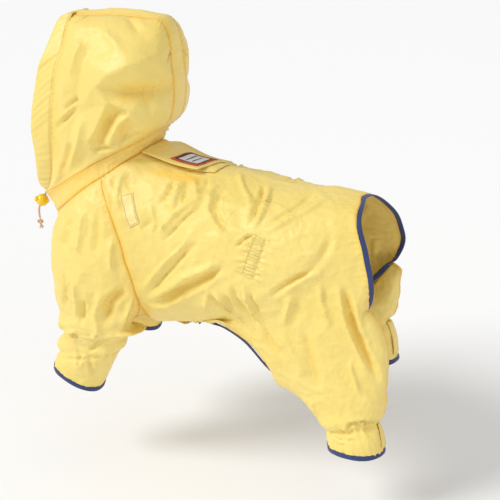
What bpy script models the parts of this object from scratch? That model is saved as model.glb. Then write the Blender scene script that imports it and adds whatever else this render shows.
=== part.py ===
"""Dog raincoat with a hood and four legs: thin cloth panels held in the pose of a standing dog.

Metres, +Z up. The head end is -X, the tail end +X, and the coat's left side -Y. The origin is on
the inner face of the back over the withers. Tables hold millimetres for the left side; the right
side is their mirror image, then moved a little by the pose of the right legs.
"""

import bpy
import numpy as np
from mathutils import Vector
from mathutils.bvhtree import BVHTree

MM = 0.001
WALL = 1.4  # cloth thickness
SEAM = 0.18  # each panel stops this far short of a seam line
# How far the other panels stop short of their lines at the top, at the bottom and at the sides.
CASING_GAPS = (0.5, 0.5, 0.4)
BAND_GAPS = (0.3, 0.3, 0.0)
LEG_TOP_GAP = 1.2
LEG_SIDE_GAP = 0.92
OPENING_GAP = 0.65  # from the cloth's free edge to the tape that binds it
TAPE_WIDTH = 6.0
TAPE_THICK = 2.6
LEFT, RIGHT = -1, 1

# Loops of the neck: centre x, centre z, half length along the slope, half width, slope x, slope z.
NECK_SEAM = (-184.0, -21.0, 82.0, 70.0, 0.803, 0.597)
HOOD_SEAM = (-187.0, 0.5, 94.0, 66.0, 0.858, 0.514)

# Trunk sections, one row per station: x, top z, bottom z, half width.
TRUNK = (
    (-118, 27, -192, 78),
    (-60, 9, -192, 91),
    (0, 1.4, -184, 92),
    (60, -8, -182, 89),
    (100, -9, -180, 83),
    (143, -13, -172, 64),
    (175, -30, -165, 58),
)
TRUNK_ROUND = 2.2

# Rear seam of the sleeve, neck to underarm, and its front seam: x, y, z per row of the sleeve.
RAGLAN_REAR = (
    (-162, -66, -4),
    (-151, -80, -24),
    (-136, -89, -52),
    (-120, -94, -88),
    (-112, -90, -124),
    (-112, -79, -152),
    (-132, -54, -184),
    (-164, -34, -199),
)
RAGLAN_FRONT = (
    (-231, -42, -57),
    (-240, -40, -86),
    (-240, -39, -118),
    (-234, -37, -150),
    (-222, -34, -174),
    (-204, -32, -187),
    (-184, -32, -195),
    (-164, -34, -199),
)
# Rings of the sleeve, one row per seam row above, then the closed leg: centre x, centre y, half
# length, half width, front z, rear z, and the degrees left open at the front and the rear.
SLEEVE_RINGS = (
    (-197, -40, 45, 30, -57, -4, 90, 130),
    (-190, -48, 48, 38, -82, -22, 85, 135),
    (-184, -52, 53, 41, -112, -50, 75, 135),
    (-177, -54, 58, 41, -140, -86, 65, 135),
    (-174, -56, 61, 38, -160, -122, 50, 135),
    (-174, -58, 62, 35, -176, -150, 36, 125),
    (-181, -60, 54, 31, -192, -178, 16, 72),
    (-187, -60, 50, 29, -207, -194, 0, 0),
    (-187, -60, 48, 27, -222, -204, 0, 0),
    (-187, -60, 45, 24, -234, -212, 0, 0),
    (-193, -60, 44, 27, -243, -226, 0, 0),
    (-203, -60, 38, 27, -252, -254, 0, 0),
    (-210, -60, 32, 25, -260, -284, 0, 0),
)
# Rear edge of the back, from the top of the tail down to the hind leg's seam: x, y, z.
REAR_EDGE = (
    (135, 0, -12),
    (137, -16, -13),
    (140, -35, -19),
    (145, -49, -33),
    (152, -57, -54),
    (160, -61, -80),
    (165, -62, -104),
    (166, -62, -122),
)
# Front edge of the back under the raglan: belly seam, then the open edge to the hind leg.
BELLY_SEAM = ((-112, -79, -152), (-109, -60, -176), (-104, -36, -189.5), (-97, -16, -194))
OPEN_EDGE = (
    (-97, -16, -194),
    (-80, -27, -191),
    (-55, -42, -180),
    (-26, -54, -170),
    (4, -60, -180),
    (33, -62, -197),
    (49, -61, -217),
    (57, -54, -238),
)
# Seam lines of the hind leg, from its top to the hem: front x, y, z, rear x, y, z, outer depth,
# inner depth.
HIND_ROWS = (
    (57, -54, -238, 166, -62, -122, 33, 0),
    (72, -51, -247, 186, -60, -146, 32, 12),
    (92, -53, -259, 191, -60, -184, 29, 19),
    (108, -55, -270, 189, -60, -222, 26, 22),
    (117, -56, -278, 184, -60, -250, 23, 21),
    (120, -56, -282, 182, -60, -261, 21, 19),
    (119, -56, -289, 187, -60, -274, 25, 23),
    (122, -56, -304, 190, -60, -299, 27, 25),
)
# Upper edge of the hind leg's inner half, front to rear, and how much of its sag the seam lines
# below it follow.
INNER_EDGE = (
    (57, -54, -238),
    (93, -48, -238),
    (132, -46, -220),
    (156, -51, -184),
    (166, -62, -122),
)
INNER_SAG = (1.0, 0.72, 0.42, 0.15)
# The half back is evened out from this many rows above the hind leg's first one to this many
# below it, beyond this distance from its edges.
RELAX_ABOVE = 11
RELAX_BELOW = 5
RELAX_CLEAR = 12.0
RELAX_ROUNDS = 60
# Hood rows from its seam to the gusset: face x, y, z, greatest half width, back x, z.
HOOD_ROWS = (
    (-246, -41, -18, 66, -97, 59),
    (-235, -56, 12, 68, -91, 77),
    (-228, -64, 56, 70, -89, 101),
    (-224, -62, 94, 70, -90, 126),
    (-220, -55, 124, 64, -92, 147),
    (-217, -40, 151, 50, -96, 162),
    (-218, -27, 168, 33, -102, 172),
    (-219, -15, 176, 15, -109, 177),
)
GUSSET_HALF = 15.0
# Middle line of the gusset from the face to the neck: x, z.
GUSSET_LINE = (
    (-221, 180),
    (-189, 183),
    (-150, 183),
    (-118, 181),
    (-103, 177),
    (-94, 166),
    (-89, 147),
    (-88, 124),
    (-87, 101),
    (-90, 78),
    (-95, 60),
    (-106, 49),
)
# Front edge of the casing: x, y, z.
FACE_EDGE = (
    (-270, -6, -46),
    (-269, -24, -37),
    (-264, -42, -12),
    (-259, -51, 10),
    (-257, -56, 36),
    (-255, -57, 67),
    (-251, -55, 97),
    (-246, -51, 122),
    (-240, -42, 142),
    (-237, -28, 159),
    (-237, -12, 169),
    (-238, 0, 174),
)
# Middle line of the chest panel, neck to belly: x, z.
CHEST_LINE = (
    (-250, -70),
    (-255, -95),
    (-255, -124),
    (-248, -154),
    (-235, -176),
    (-214, -191),
    (-186, -198),
    (-150, -199),
    (-100, -196),
)
BELLY_STEPS, OPEN_STEPS, NECK_STEPS = 4, 8, 4

# How the right legs stand: left z, then the move in x and z of the right leg at that height.
RIGHT_HIND = (
    (-10, 0, 0),
    (-45, 11, 0),
    (-80, 9, 3),
    (-118, -4, 11),
    (-165, -19, 32),
    (-200, -19, 50),
    (-258, -22, 77),
    (-300, -16, 61),
)
RIGHT_FRONT = ((-185, 0, 0), (-200, 3, 4), (-230, 14, 24), (-285, 23, 38))

# Folds of the cloth, one row each: side, start x, z, end x, z, width, depth (ridges above zero).
BACK_FOLDS = (
    (LEFT, -62, -8, -112, -92, 9, -3.2),
    (LEFT, -40, -16, -86, -104, 10, 3.0),
    (LEFT, -22, -20, -70, -96, 9, -2.6),
    (LEFT, -96, -142, -10, -72, 11, 3.2),
    (LEFT, -84, -158, 14, -96, 10, -3.4),
    (LEFT, 40, -42, 30, -94, 7, -4.5),
    (LEFT, 58, -44, 92, -62, 8, 2.6),
    (LEFT, 56, -66, 104, -84, 9, -2.4),
    (LEFT, 40, -104, 80, -150, 10, 3.0),
    (LEFT, 12, -104, -28, -152, 9, 2.8),
    (LEFT, 120, -60, 128, -150, 12, -4.2),
    (LEFT, 134, -96, 150, -178, 10, 3.6),
    (LEFT, 96, -120, 112, -216, 12, -3.4),
    (LEFT, 66, -188, 126, -250, 10, 3.0),
    (RIGHT, -58, -14, -104, -96, 10, -3.0),
    (RIGHT, -30, -22, -78, -98, 10, 2.8),
    (RIGHT, -90, -150, 0, -84, 11, 3.0),
    (RIGHT, 44, -38, 30, -100, 8, -4.2),
    (RIGHT, 58, -58, 108, -78, 9, -2.6),
    (RIGHT, 34, -104, 74, -142, 10, 2.8),
    (RIGHT, 118, -70, 126, -140, 12, -4.0),
    (RIGHT, 92, -110, 116, -170, 11, -3.2),
    (RIGHT, 134, -110, 142, -160, 9, 3.2),
)
SLEEVE_FOLDS = (
    (LEFT, -214, -84, -146, -74, 9, -2.8),
    (LEFT, -222, -112, -140, -104, 10, 2.8),
    (LEFT, -208, -136, -128, -150, 10, -3.2),
    (LEFT, -214, -168, -190, -226, 9, -3.0),
    (LEFT, -176, -160, -172, -218, 9, 3.2),
    (LEFT, -150, -168, -154, -208, 8, -2.8),
    (RIGHT, -216, -92, -150, -80, 9, -2.8),
    (RIGHT, -222, -124, -134, -128, 10, 2.8),
    (RIGHT, -196, -150, -176, -196, 9, -3.0),
    (RIGHT, -166, -146, -146, -190, 8, 3.0),
)
HOOD_FOLDS = (
    (LEFT, -166, 100, -90, 128, 9, 4.0),
    (LEFT, -152, 86, -84, 112, 12, -4.6),
    (LEFT, -150, 82, -178, 36, 9, 3.4),
    (LEFT, -134, 74, -138, 40, 9, 3.0),
    (LEFT, -160, 56, -152, 24, 9, -3.4),
    (LEFT, -108, 158, -86, 136, 7, -3.2),
    (RIGHT, -160, 96, -94, 122, 10, 3.8),
    (RIGHT, -146, 82, -86, 104, 12, -4.2),
    (RIGHT, -158, 66, -176, 30, 9, 3.0),
    (RIGHT, -126, 62, -132, 40, 9, -3.0),
)

# Corners of what is sewn on the back: x, y, z, with the height found on the cloth itself.
LAYER = 1.0
FLAP = ((-121, -41, 0), (-106, 34, 0), (-35, 30, 0), (-50, -39, 0))
FLAP_TAB = ((-66, -33, 0), (-66, 28, 0), (-29, 14, 0), (-33, -27, 0))
LABEL = ((-88, -31, 0), (-79, 10, 0), (-45, 12, 0), (-54, -31, 0))
PATCH = ((-133, 0, -19), (-119, 0, -16), (-104, 0, -47), (-116, 0, -54))

# The cord from the casing's end: x, y, z. It runs straight through the lock, third to fifth point.
CORD_LINE = (
    (-270.9, -6.2, -45.6),
    (-273.4, -7.4, -49.6),
    (-275.4, -8.5, -54),
    (-279.4, -9, -61.5),
    (-283.4, -9.5, -69),
    (-284.6, -9.7, -74),
    (-284.8, -9.8, -80),
    (-284.2, -9.8, -86),
)
CORD_RADIUS = 1.4
LOCK_RADIUS, LOCK_BORE = 8.0, 2.4
KNOT_RADIUS = 3.6
CASING_THICK = 2.6

# Cloth widths along each loft: rows and columns of faces.
BACK_COLUMNS, SLEEVE_COLUMNS, INNER_COLUMNS = 22, 26, 10
HOOD_ROWS_OF_FACES, HOOD_COLUMNS = 12, 12
HOOD_START = 24.0  # degrees from the throat to the hood side's front corner
HEM_TAB_ROWS = (0.5, 2.6)  # from the fourth row of points above the hem, which is 0, to the hem, 3

YELLOW = (0.83, 0.56, 0.02, 1.0)
BRIGHT = (0.95, 0.72, 0.01, 1.0)
NAVY = (0.012, 0.018, 0.045, 1.0)
RED = (0.6, 0.07, 0.02, 1.0)
PALE = (0.78, 0.66, 0.3, 1.0)
BEIGE = (0.7, 0.45, 0.28, 1.0)


# --------------------------------------------------------------------------------------- curves


def through(knots, values, at):
    """Values at `at` on a smooth curve that passes through the given values at their knots."""
    knots, values = np.asarray(knots, float), np.asarray(values, float)
    at = np.clip(np.asarray(at, float), knots[0], knots[-1])
    slopes = np.gradient(values, knots, axis=0)
    i = np.clip(np.searchsorted(knots, at, side="right") - 1, 0, len(knots) - 2)
    step = knots[i + 1] - knots[i]
    shape = (-1,) + (1,) * (values.ndim - 1)
    u, step = ((at - knots[i]) / step).reshape(shape), step.reshape(shape)
    ahead = u * u * (3 - 2 * u)
    bend = u * (1 - u) * step
    level = (1 - ahead) * values[i] + ahead * values[i + 1]
    return level + bend * ((1 - u) * slopes[i] - u * slopes[i + 1])


def along(points, at):
    """Points at these fractions of the length of a smooth line through the points."""
    points = np.asarray(points, float)
    steps = np.linalg.norm(np.diff(points, axis=0), axis=1)
    knots = np.concatenate([[0], np.cumsum(steps)])
    return through(knots / knots[-1], points, at)


def neck_loop(loop, degrees):
    """Points of a neck loop: 0 degrees at the throat, 180 at the back, and left between them."""
    x, z, length, width, slope_x, slope_z = loop
    angle = np.radians(np.asarray(degrees, float))
    down = length * np.cos(angle)
    return np.stack([x - down * slope_x, -width * np.sin(angle), z - down * slope_z], -1)


def trunk(x, degrees):
    """A point of the trunk: 0 degrees on the spine, 90 at the left side, 180 under the belly."""
    top, bottom, width = through([row[0] for row in TRUNK], [row[1:] for row in TRUNK], [x])[0]
    angle = np.radians(degrees)
    power = 2 / TRUNK_ROUND
    up = np.sign(np.cos(angle)) * abs(np.cos(angle)) ** power
    return (x, -width * abs(np.sin(angle)) ** power, (top + bottom) / 2 + up * (top - bottom) / 2)


def soft_step(share):
    """A smooth step from 0 to 1."""
    share = np.clip(share, 0, 1)
    return share * share * (3 - 2 * share)


def half_ring(front, rear, depth, count):
    """A half loop from the front point to the rear one that swings out by `depth` in -Y."""
    front, rear = np.asarray(front, float), np.asarray(rear, float)
    angle = np.linspace(0, np.pi, count)[:, None]
    points = (front + rear) / 2 + (front - rear) / 2 * np.cos(angle)
    points[:, 1] -= depth * np.sin(angle[:, 0]) ** 0.85
    return points


def posed(points, side):
    """Points of the left side as they stand on this side."""
    points = np.array(points, float)
    if side == LEFT:
        return points
    x, z = points[..., 0].copy(), points[..., 2].copy()
    for table, weight in (
        (RIGHT_HIND, np.clip((x + 20) / 110, 0, 1)),
        (RIGHT_FRONT, np.clip((-100 - x) / 30, 0, 1)),
    ):
        rows = np.array(sorted(table), float)
        weight = weight * weight * (3 - 2 * weight)
        points[..., 0] += weight * np.interp(z, rows[:, 0], rows[:, 1])
        points[..., 2] += weight * np.interp(z, rows[:, 0], rows[:, 2])
    points[..., 1] *= -1
    return points


# --------------------------------------------------------------------------------------- lofts


def loft(sections, rows, columns, spread=None):
    """A grid of points over the sections: `rows` places among them, `columns` across each."""
    sections = np.asarray(sections, float)
    across = through(np.arange(len(sections)), sections, rows)
    spread = np.linspace(0, 1, sections.shape[1]) if spread is None else np.asarray(spread)
    return through(spread, across.swapaxes(0, 1), columns).swapaxes(0, 1)


def normals_of(grid):
    """Unit normals of a grid, on the side that columns x rows faces."""
    across = np.gradient(grid, axis=1)
    down = np.gradient(grid, axis=0)
    normal = np.cross(across, down)
    return normal / np.maximum(np.linalg.norm(normal, axis=2, keepdims=True), 1e-9)


def outward(grid, inside):
    """The grid with its rows turned round if need be, so that it faces away from a point."""
    facing = (normals_of(grid) * (grid - np.asarray(inside))).sum()
    return grid if facing > 0 else grid[::-1]


def folded(grid, folds, side, ends=1.5):
    """The grid moved along its normals by the folds of this side, and left as it is at its rim."""
    rows, columns = grid.shape[:2]
    row = np.minimum(np.arange(rows), np.arange(rows)[::-1])[:, None] / ends
    column = np.minimum(np.arange(columns), np.arange(columns)[::-1])[None, :] / ends
    free = np.clip(np.minimum(row, column), 0, 1)
    lift = np.zeros((rows, columns))
    flat = grid[..., [0, 2]]
    for fold_side, x0, z0, x1, z1, width, depth in folds:
        if fold_side != side:
            continue
        start, run = np.array((x0, z0)), np.array((x1 - x0, z1 - z0))
        at = ((flat - start) @ run) / (run @ run)
        near = np.linalg.norm(flat - start - np.clip(at, 0, 1)[..., None] * run, axis=2)
        fade = np.clip(1.15 - abs(2 * np.clip(at, 0, 1) - 1) ** 3, 0, 1)
        lift += depth * fade * np.exp(-((near / width) ** 2))
    outer = np.sign(grid[..., 1]) == side
    return grid + normals_of(grid) * (lift * free * outer)[..., None]


def rippled(grid, row, reach, waves, depth):
    """The grid with gathers that fade away from this row, along its normals."""
    rows, columns = grid.shape[:2]
    fade = np.exp(-(((np.arange(rows) - row) / reach) ** 2))[:, None]
    turn = np.linspace(0, 2 * np.pi * waves, columns)[None, :]
    wave = np.sin(turn + 0.9 * np.sin(turn / 2.7)) * (0.75 + 0.25 * np.sin(turn / 1.9 + 1))
    rim = np.clip(np.minimum(np.arange(columns), np.arange(columns)[::-1]) / 1.5, 0, 1)
    return grid + normals_of(grid) * (depth * fade * wave * rim)[..., None]


def short_of(grid, top, bottom, sides):
    """The grid with its first row, last row and both sides drawn back by this much."""
    grid = grid.copy()
    for rim, inner, gap in ((0, 1, top), (-1, -2, bottom)):
        grid[rim] += unit(grid[inner] - grid[rim]) * gap
    for rim, inner in ((0, 1), (-1, -2)):
        grid[:, rim] += unit(grid[:, inner] - grid[:, rim]) * sides
    return grid


# ------------------------------------------------------------------------------------- objects


def clear_scene():
    for old in list(bpy.data.objects):
        bpy.data.objects.remove(old, do_unlink=True)


def material(name, colour, roughness, metallic=0.0):
    made = bpy.data.materials.new(name)
    made.use_nodes = True
    shader = made.node_tree.nodes["Principled BSDF"]
    shader.inputs["Base Color"].default_value = colour
    shader.inputs["Roughness"].default_value = roughness
    shader.inputs["Metallic"].default_value = metallic
    return made


def add_object(name, points, faces, look):
    mesh = bpy.data.meshes.new(name)
    mesh.from_pydata([tuple(point) for point in np.asarray(points) * MM], [], faces)
    mesh.materials.append(look)
    made = bpy.data.objects.new(name, mesh)
    bpy.data.collections["dog_raincoat"].objects.link(made)
    return made


def quads(rows, columns, closed=False):
    """Faces over a grid of points, row by row."""
    last = columns if closed else columns - 1
    return [
        (
            i * columns + j,
            i * columns + (j + 1) % columns,
            (i + 1) * columns + (j + 1) % columns,
            (i + 1) * columns + j,
        )
        for i in range(rows - 1)
        for j in range(last)
    ]


def seam_normals(panels):
    """Vertex normals of every panel, where points that panels share at a seam agree."""
    total = {}
    keys = {}
    for name, (grid, closed) in panels.items():
        points = grid.reshape(-1, 3)
        keys[name] = [tuple(key) for key in np.round(points * 20).astype(int)]
        for face in quads(*grid.shape[:2], closed):
            corners = points[list(face)]
            normal = np.cross(corners[2] - corners[0], corners[3] - corners[1])
            for corner in face:
                key = keys[name][corner]
                total[key] = total.get(key, 0) + normal
    return {
        name: unit(np.array([total[key] for key in keys[name]])).reshape(grid.shape)
        for name, (grid, _) in panels.items()
    }


def panel(name, grid, normals, look, closed=False, wall=WALL):
    """A lofted panel: the grid is its outer face, and its wall lies under it along the normals."""
    rows, columns = grid.shape[:2]
    count = rows * columns
    outer = quads(rows, columns, closed)
    rim = [[i * columns for i in range(rows)], [i * columns + columns - 1 for i in range(rows)]]
    rim = [] if closed else [rim[0][::-1], rim[1]]
    top, bottom = list(range(columns)), [count - columns + j for j in range(columns)]
    if closed:
        top, bottom = [*top, top[0]], [*bottom, bottom[0]]
    rim += [top, bottom[::-1]]
    faces = outer + [tuple(corner + count for corner in face[::-1]) for face in outer]
    for line in rim:
        faces += [(b, a, a + count, b + count) for a, b in zip(line, line[1:])]
    points = np.concatenate([grid.reshape(-1, 3), (grid - normals * wall).reshape(-1, 3)])
    return add_object(name, points, faces, look)


def cloth(name, grid, look, wall=WALL):
    """A cloth piece that lies free: Solidify gives the grid its wall."""
    made = add_object(name, grid.reshape(-1, 3), quads(*grid.shape[:2]), look)
    shell = made.modifiers.new("cloth wall", "SOLIDIFY")
    shell.thickness = wall * MM
    shell.offset = -1
    shell.use_quality_normals = True
    return made


def tape(name, line, sideways, normal, look, closed=True, width=TAPE_WIDTH, thick=TAPE_THICK):
    """A flat tape whose outer edge is the line: it lies back from it along `sideways`."""
    flat, edge = thick / 2, thick / 5
    outline = (
        (0, edge),
        (width * 0.14, flat),
        (width, flat),
        (width, -flat),
        (width * 0.14, -flat),
        (0, -edge),
    )
    rings = np.stack([line + sideways * x + normal * y for x, y in outline], 1)
    count, corners = rings.shape[:2]
    faces = [
        (
            i * corners + j,
            i * corners + (j + 1) % corners,
            (i + 1) % count * corners + (j + 1) % corners,
            (i + 1) % count * corners + j,
        )
        for i in range(count if closed else count - 1)
        for j in range(corners)
    ]
    if not closed:
        faces += [tuple(range(corners))[::-1]]
        faces += [tuple((count - 1) * corners + j for j in range(corners))]
    points = rings.reshape(-1, 3)
    if volume(points, faces) < 0:
        faces = [face[::-1] for face in faces]
    return add_object(name, points, faces, look)


def volume(points, faces):
    total = 0.0
    for face in faces:
        for second, third in zip(face[1:-1], face[2:]):
            total += np.dot(points[face[0]], np.cross(points[second], points[third]))
    return total / 6


def unit(vectors):
    return vectors / np.maximum(np.linalg.norm(vectors, axis=-1, keepdims=True), 1e-9)


# -------------------------------------------------------------------------------------- panels


def sleeve_sections():
    """Rows of eleven points round the left sleeve, from the neck to the hem."""
    made = []
    for i, (x, y, length, width, front, rear, first, last) in enumerate(SLEEVE_RINGS):
        angle = np.radians(np.linspace(first, 360 - last, 11))
        power = 2 / 2.3
        ahead = np.sign(np.sin(angle)) * abs(np.sin(angle)) ** power
        inner = np.sign(np.cos(angle)) * abs(np.cos(angle)) ** power
        level = front + (rear - front) * (1 - ahead) / 2
        ring = np.stack([x - length * ahead, y + width * inner, level], 1)
        if i < len(RAGLAN_REAR):
            blend = np.linspace(0, 1, 11)[:, None]
            ring += (1 - blend) * (np.array(RAGLAN_FRONT[i]) - ring[0])
            ring += blend * (np.array(RAGLAN_REAR[i]) - ring[-1])
        made.append(ring)
    front, rear = neck_angle(RAGLAN_FRONT[0]), neck_angle(RAGLAN_REAR[0])
    made[0] = neck_loop(NECK_SEAM, np.linspace(front, rear, 11))
    return np.array(made)


def neck_angle(point):
    """The angle on the neck seam that lies nearest to a point."""
    degrees = np.linspace(0, 180, 721)
    away = np.linalg.norm(neck_loop(NECK_SEAM, degrees) - np.array(point), axis=1)
    return degrees[away.argmin()]


def sleeve_grid(side, columns=SLEEVE_COLUMNS):
    sections = posed(sleeve_sections(), side)
    rows = sleeve_rows()
    grid = loft(sections, rows, np.linspace(0, 1, columns + 1))
    grid = folded(grid, SLEEVE_FOLDS, side)
    gather = np.searchsorted(rows, 9.0)
    return rippled(grid, gather, 2.2, 8, 1.3)


def sleeve_rows():
    """Row places of the sleeve, with one at the raglan's end, the underarm, gather and hem."""
    upper, arm = np.linspace(0, 5, 8), np.linspace(5, 7, 4)
    return np.concatenate([upper, arm[1:], (7.7, 8.4, 9.0, 9.6, 10.3, 11.0, 12.0)])


def raglan_line(side):
    """The sleeve's rear edge from the neck to the belly, at the sleeve's own rows."""
    rows = sleeve_rows()
    rows = rows[rows <= 5.0001]
    return loft(posed(sleeve_sections(), side), rows, [1.0])[:, 0]


def back_sections(side):
    """Rows of seven points from the front edge to the rear edge, spine to hem, and their places.

    The rows share the sleeve's rear edge, so its points and these panels' points agree.
    """
    spread = np.array((0, 0.2, 0.4, 0.6, 0.78, 0.9, 1.0))
    neck_end = neck_angle(RAGLAN_REAR[0])
    raglan = posed_back(raglan_line(side), side)
    angles = np.linspace(180, neck_end, NECK_STEPS + 1)[:-1]
    front = [neck_loop(NECK_SEAM, angle) for angle in angles]
    front += list(raglan)
    front += list(along(BELLY_SEAM, np.linspace(0, 1, BELLY_STEPS + 1)[1:]))
    front += list(along(OPEN_EDGE, np.linspace(0, 1, OPEN_STEPS + 1)[1:]))
    count = len(front)
    rear = along(REAR_EDGE, 1 - (1 - np.linspace(0, 1, count)) ** 1.35)
    sections = []
    for i, (start, end) in enumerate(zip(front, rear)):
        place = i / (count - 1)
        points = []
        first, last = trunk_angle(start), trunk_angle(end)
        for s in spread[1:-1]:
            x = start[0] + (end[0] - start[0]) * s
            on_trunk = np.array(trunk(x, first + (last - first) * s))
            points.append(on_trunk)
        points = np.array([start, *points, end])
        ring = along(half_ring(start, end, HIND_ROWS[0][6], 41), spread)
        share = soft_step((place - 0.55) / 0.45)
        sections.append((1 - share) * points + share * ring)
    for row in HIND_ROWS[1:]:
        ring = half_ring(row[:3], row[3:6], row[6], 41)
        sections.append(along(ring, spread))
    return np.array(sections), spread


def posed_back(points, side):
    """The left-side points whose pose on this side gives these ones."""
    points = np.array(points, float)
    if side == LEFT:
        return points
    points[..., 1] *= -1
    moved = points.copy()
    for _ in range(12):
        now = posed(moved, side)
        now[..., 1] *= -1
        moved += points - now
    return moved


def trunk_angle(point):
    """The angle at which a trunk point of this x comes nearest to the point."""
    degrees = np.linspace(0, 180, 181)
    x = min(max(point[0], TRUNK[0][0]), TRUNK[-1][0])
    ring = np.array([trunk(x, angle) for angle in degrees])
    return degrees[np.linalg.norm(ring[:, 1:] - np.array(point)[1:], axis=1).argmin()]


def back_rows():
    """Row places of the back: every section, then two steps to a section down the hind leg."""
    first = NECK_STEPS + len(raglan_line(LEFT)) + BELLY_STEPS + OPEN_STEPS - 1
    upper = np.arange(0, first + 1)
    lower = np.linspace(first, first + len(HIND_ROWS) - 1, 10)
    return np.concatenate([upper, lower[1:]]), first


def relaxed(grid, first):
    """The half back evened out where the trunk runs into the hind leg, clear of its edges."""
    row = np.arange(len(grid))
    share = soft_step((row - first + RELAX_ABOVE) / 6) * soft_step((first + RELAX_BELOW - row) / 4)
    steps = np.arange(8)[:, None, None] / 8
    rims = [edge[:-1] + np.diff(edge, axis=0) * steps for edge in (grid[:, 0], grid[:, -1])]
    away = grid[:, :, None] - np.concatenate(rims, axis=1).reshape(-1, 3)
    away = np.linalg.norm(away, axis=3).min(axis=2)
    share = share[:, None] * soft_step((away - RELAX_CLEAR) / (2 * RELAX_CLEAR))
    share = 0.5 * share[1:-1, 1:-1, None]
    grid = grid.copy()
    for _ in range(RELAX_ROUNDS):
        mean = (grid[:-2, 1:-1] + grid[2:, 1:-1] + grid[1:-1, :-2] + grid[1:-1, 2:]) / 4
        grid[1:-1, 1:-1] += share * (mean - grid[1:-1, 1:-1])
    return grid


def back_grid(side, columns=BACK_COLUMNS):
    """Half of the back, from the spine to the hem, with its folds and gathers."""
    sections, spread = back_sections(side)
    rows, first = back_rows()
    grid = loft(sections, rows, np.linspace(0, 1, columns + 1), spread)
    grid = posed(relaxed(grid, first), side)
    rim = grid.copy()
    grid = folded(grid, BACK_FOLDS, side)
    gather = np.searchsorted(rows, first + 5.0)
    grid = rippled(grid, gather, 2.0, 5, 1.3)
    grid[0] = rim[0]
    return grid


def inner_grid(side, back, columns=INNER_COLUMNS):
    """The inner half of a hind leg, from the open edge to the hem, joined to the outer half."""
    rows, first = back_rows()
    rows = rows[rows >= first] - first
    spread = np.linspace(0, 1, 9)
    rings = [half_ring(row[:3], row[3:6], -row[7], 41) for row in HIND_ROWS]
    sections = np.array([along(ring, spread) for ring in rings])
    sag = along(INNER_EDGE, spread) - sections[0]
    for i, share in enumerate(INNER_SAG):
        sections[i] += sag * share
    grid = posed(loft(sections, rows, np.linspace(0, 1, columns + 1), spread), side)
    gather = np.searchsorted(rows, 5.0)
    grid = rippled(grid, gather, 2.0, 4, 1.2)
    share = np.linspace(0, 1, columns + 1)[None, :, None]
    grid += (1 - share) ** 2 * (back[first:, :1] - grid[:, :1])
    return grid + share**2 * (back[first:, -1:] - grid[:, -1:])


def chest_side(side):
    """The chest's edge along the sleeve: down its front seam, then back along its rear one."""
    rows = sleeve_rows()
    sections = posed(sleeve_sections(), side)
    down = loft(sections, rows[rows <= 7.0001], [0.0])[:, 0]
    back = loft(sections, rows[(rows > 4.999) & (rows < 6.999)][::-1], [1.0])[:, 0]
    return np.concatenate([down, back])


def chest_grid():
    """The chest, from the throat to the belly, between the sleeves' front seams."""
    left, right = chest_side(LEFT), chest_side(RIGHT)
    middle = along([(x, 0, z) for x, z in CHEST_LINE], np.linspace(0, 1, len(left)))
    columns = np.linspace(0, 1, 2 * BELLY_STEPS + 3)
    grid = []
    for a, m, b in zip(left, middle, right):
        near, far = m + (a - m) * (0.3, 0.45, 0.3), m + (b - m) * (0.3, 0.45, 0.3)
        grid.append(through(np.linspace(0, 1, 5), np.array([a, near, m, far, b]), columns))
    end = neck_angle(RAGLAN_FRONT[0])
    grid[0] = neck_loop(NECK_SEAM, np.linspace(end, -end, len(columns)))
    belly = along(BELLY_SEAM, np.linspace(0, 1, BELLY_STEPS + 1))
    grid[-1] = np.concatenate([belly, [middle[-1]], posed(belly, RIGHT)[::-1]])
    return np.array(grid)


def hood_grid(side, rows=HOOD_ROWS_OF_FACES, columns=HOOD_COLUMNS):
    """One side of the hood, from its seam up to the gusset."""
    spread = np.linspace(0, 1, 9)
    low = 180 - np.degrees(np.arcsin(GUSSET_HALF / HOOD_SEAM[3]))
    sections = [neck_loop(HOOD_SEAM, np.linspace(HOOD_START, low, 9))]
    for x, y, z, width, back_x, back_z in HOOD_ROWS:
        angle = np.linspace(0, np.pi / 2, 5)[1:]
        bow = np.array([y, *(-width * np.array((0.955, 1.0, 1.0, 1.0)))])
        round_y = -GUSSET_HALF - (width - GUSSET_HALF) * np.cos(angle) ** 0.8
        share = np.array([0, 0.12, 0.26, 0.4, 0.52, *(0.52 + 0.48 * np.sin(angle) ** 0.9)])
        ys = np.array([*bow, *round_y])
        zs = z + (back_z - z) * share
        sections.append(np.stack([x + (back_x - x) * share, ys, zs], 1))
    places = np.linspace(0, len(sections) - 1, rows + 1)
    grid = posed_hood(loft(sections, places, np.linspace(0, 1, columns + 1)), side)
    return folded(grid, HOOD_FOLDS, side)


def posed_hood(points, side):
    points = np.array(points, float)
    if side == RIGHT:
        points[..., 1] *= -1
    return points


def gusset_grid():
    """The strip over the top and down the back, between the two hood sides."""
    left = gusset_edge(LEFT)
    right = gusset_edge(RIGHT)
    middle = along([(x, 0, z) for x, z in GUSSET_LINE], np.linspace(0, 1, len(left)))
    near = nearest_line(middle, left)
    centre = (left + right) / 2 * 0.25 + near * 0.75
    centre[-1] = neck_loop(HOOD_SEAM, 180)
    return np.stack([left, centre, right], 1)


def nearest_line(middle, edge):
    """Middle points placed level with the edge's own points."""
    dense = along(middle, np.linspace(0, 1, 400))
    away = np.linalg.norm((dense[None] - edge[:, None])[..., [0, 2]], axis=2)
    return dense[away.argmin(1)]


def gusset_edge(side):
    """The hood side's edge at the gusset, from the face over the top and down the back."""
    grid = hood_grid(side)
    return np.concatenate([grid[-1], grid[::-1][1:, -1]])


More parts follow.
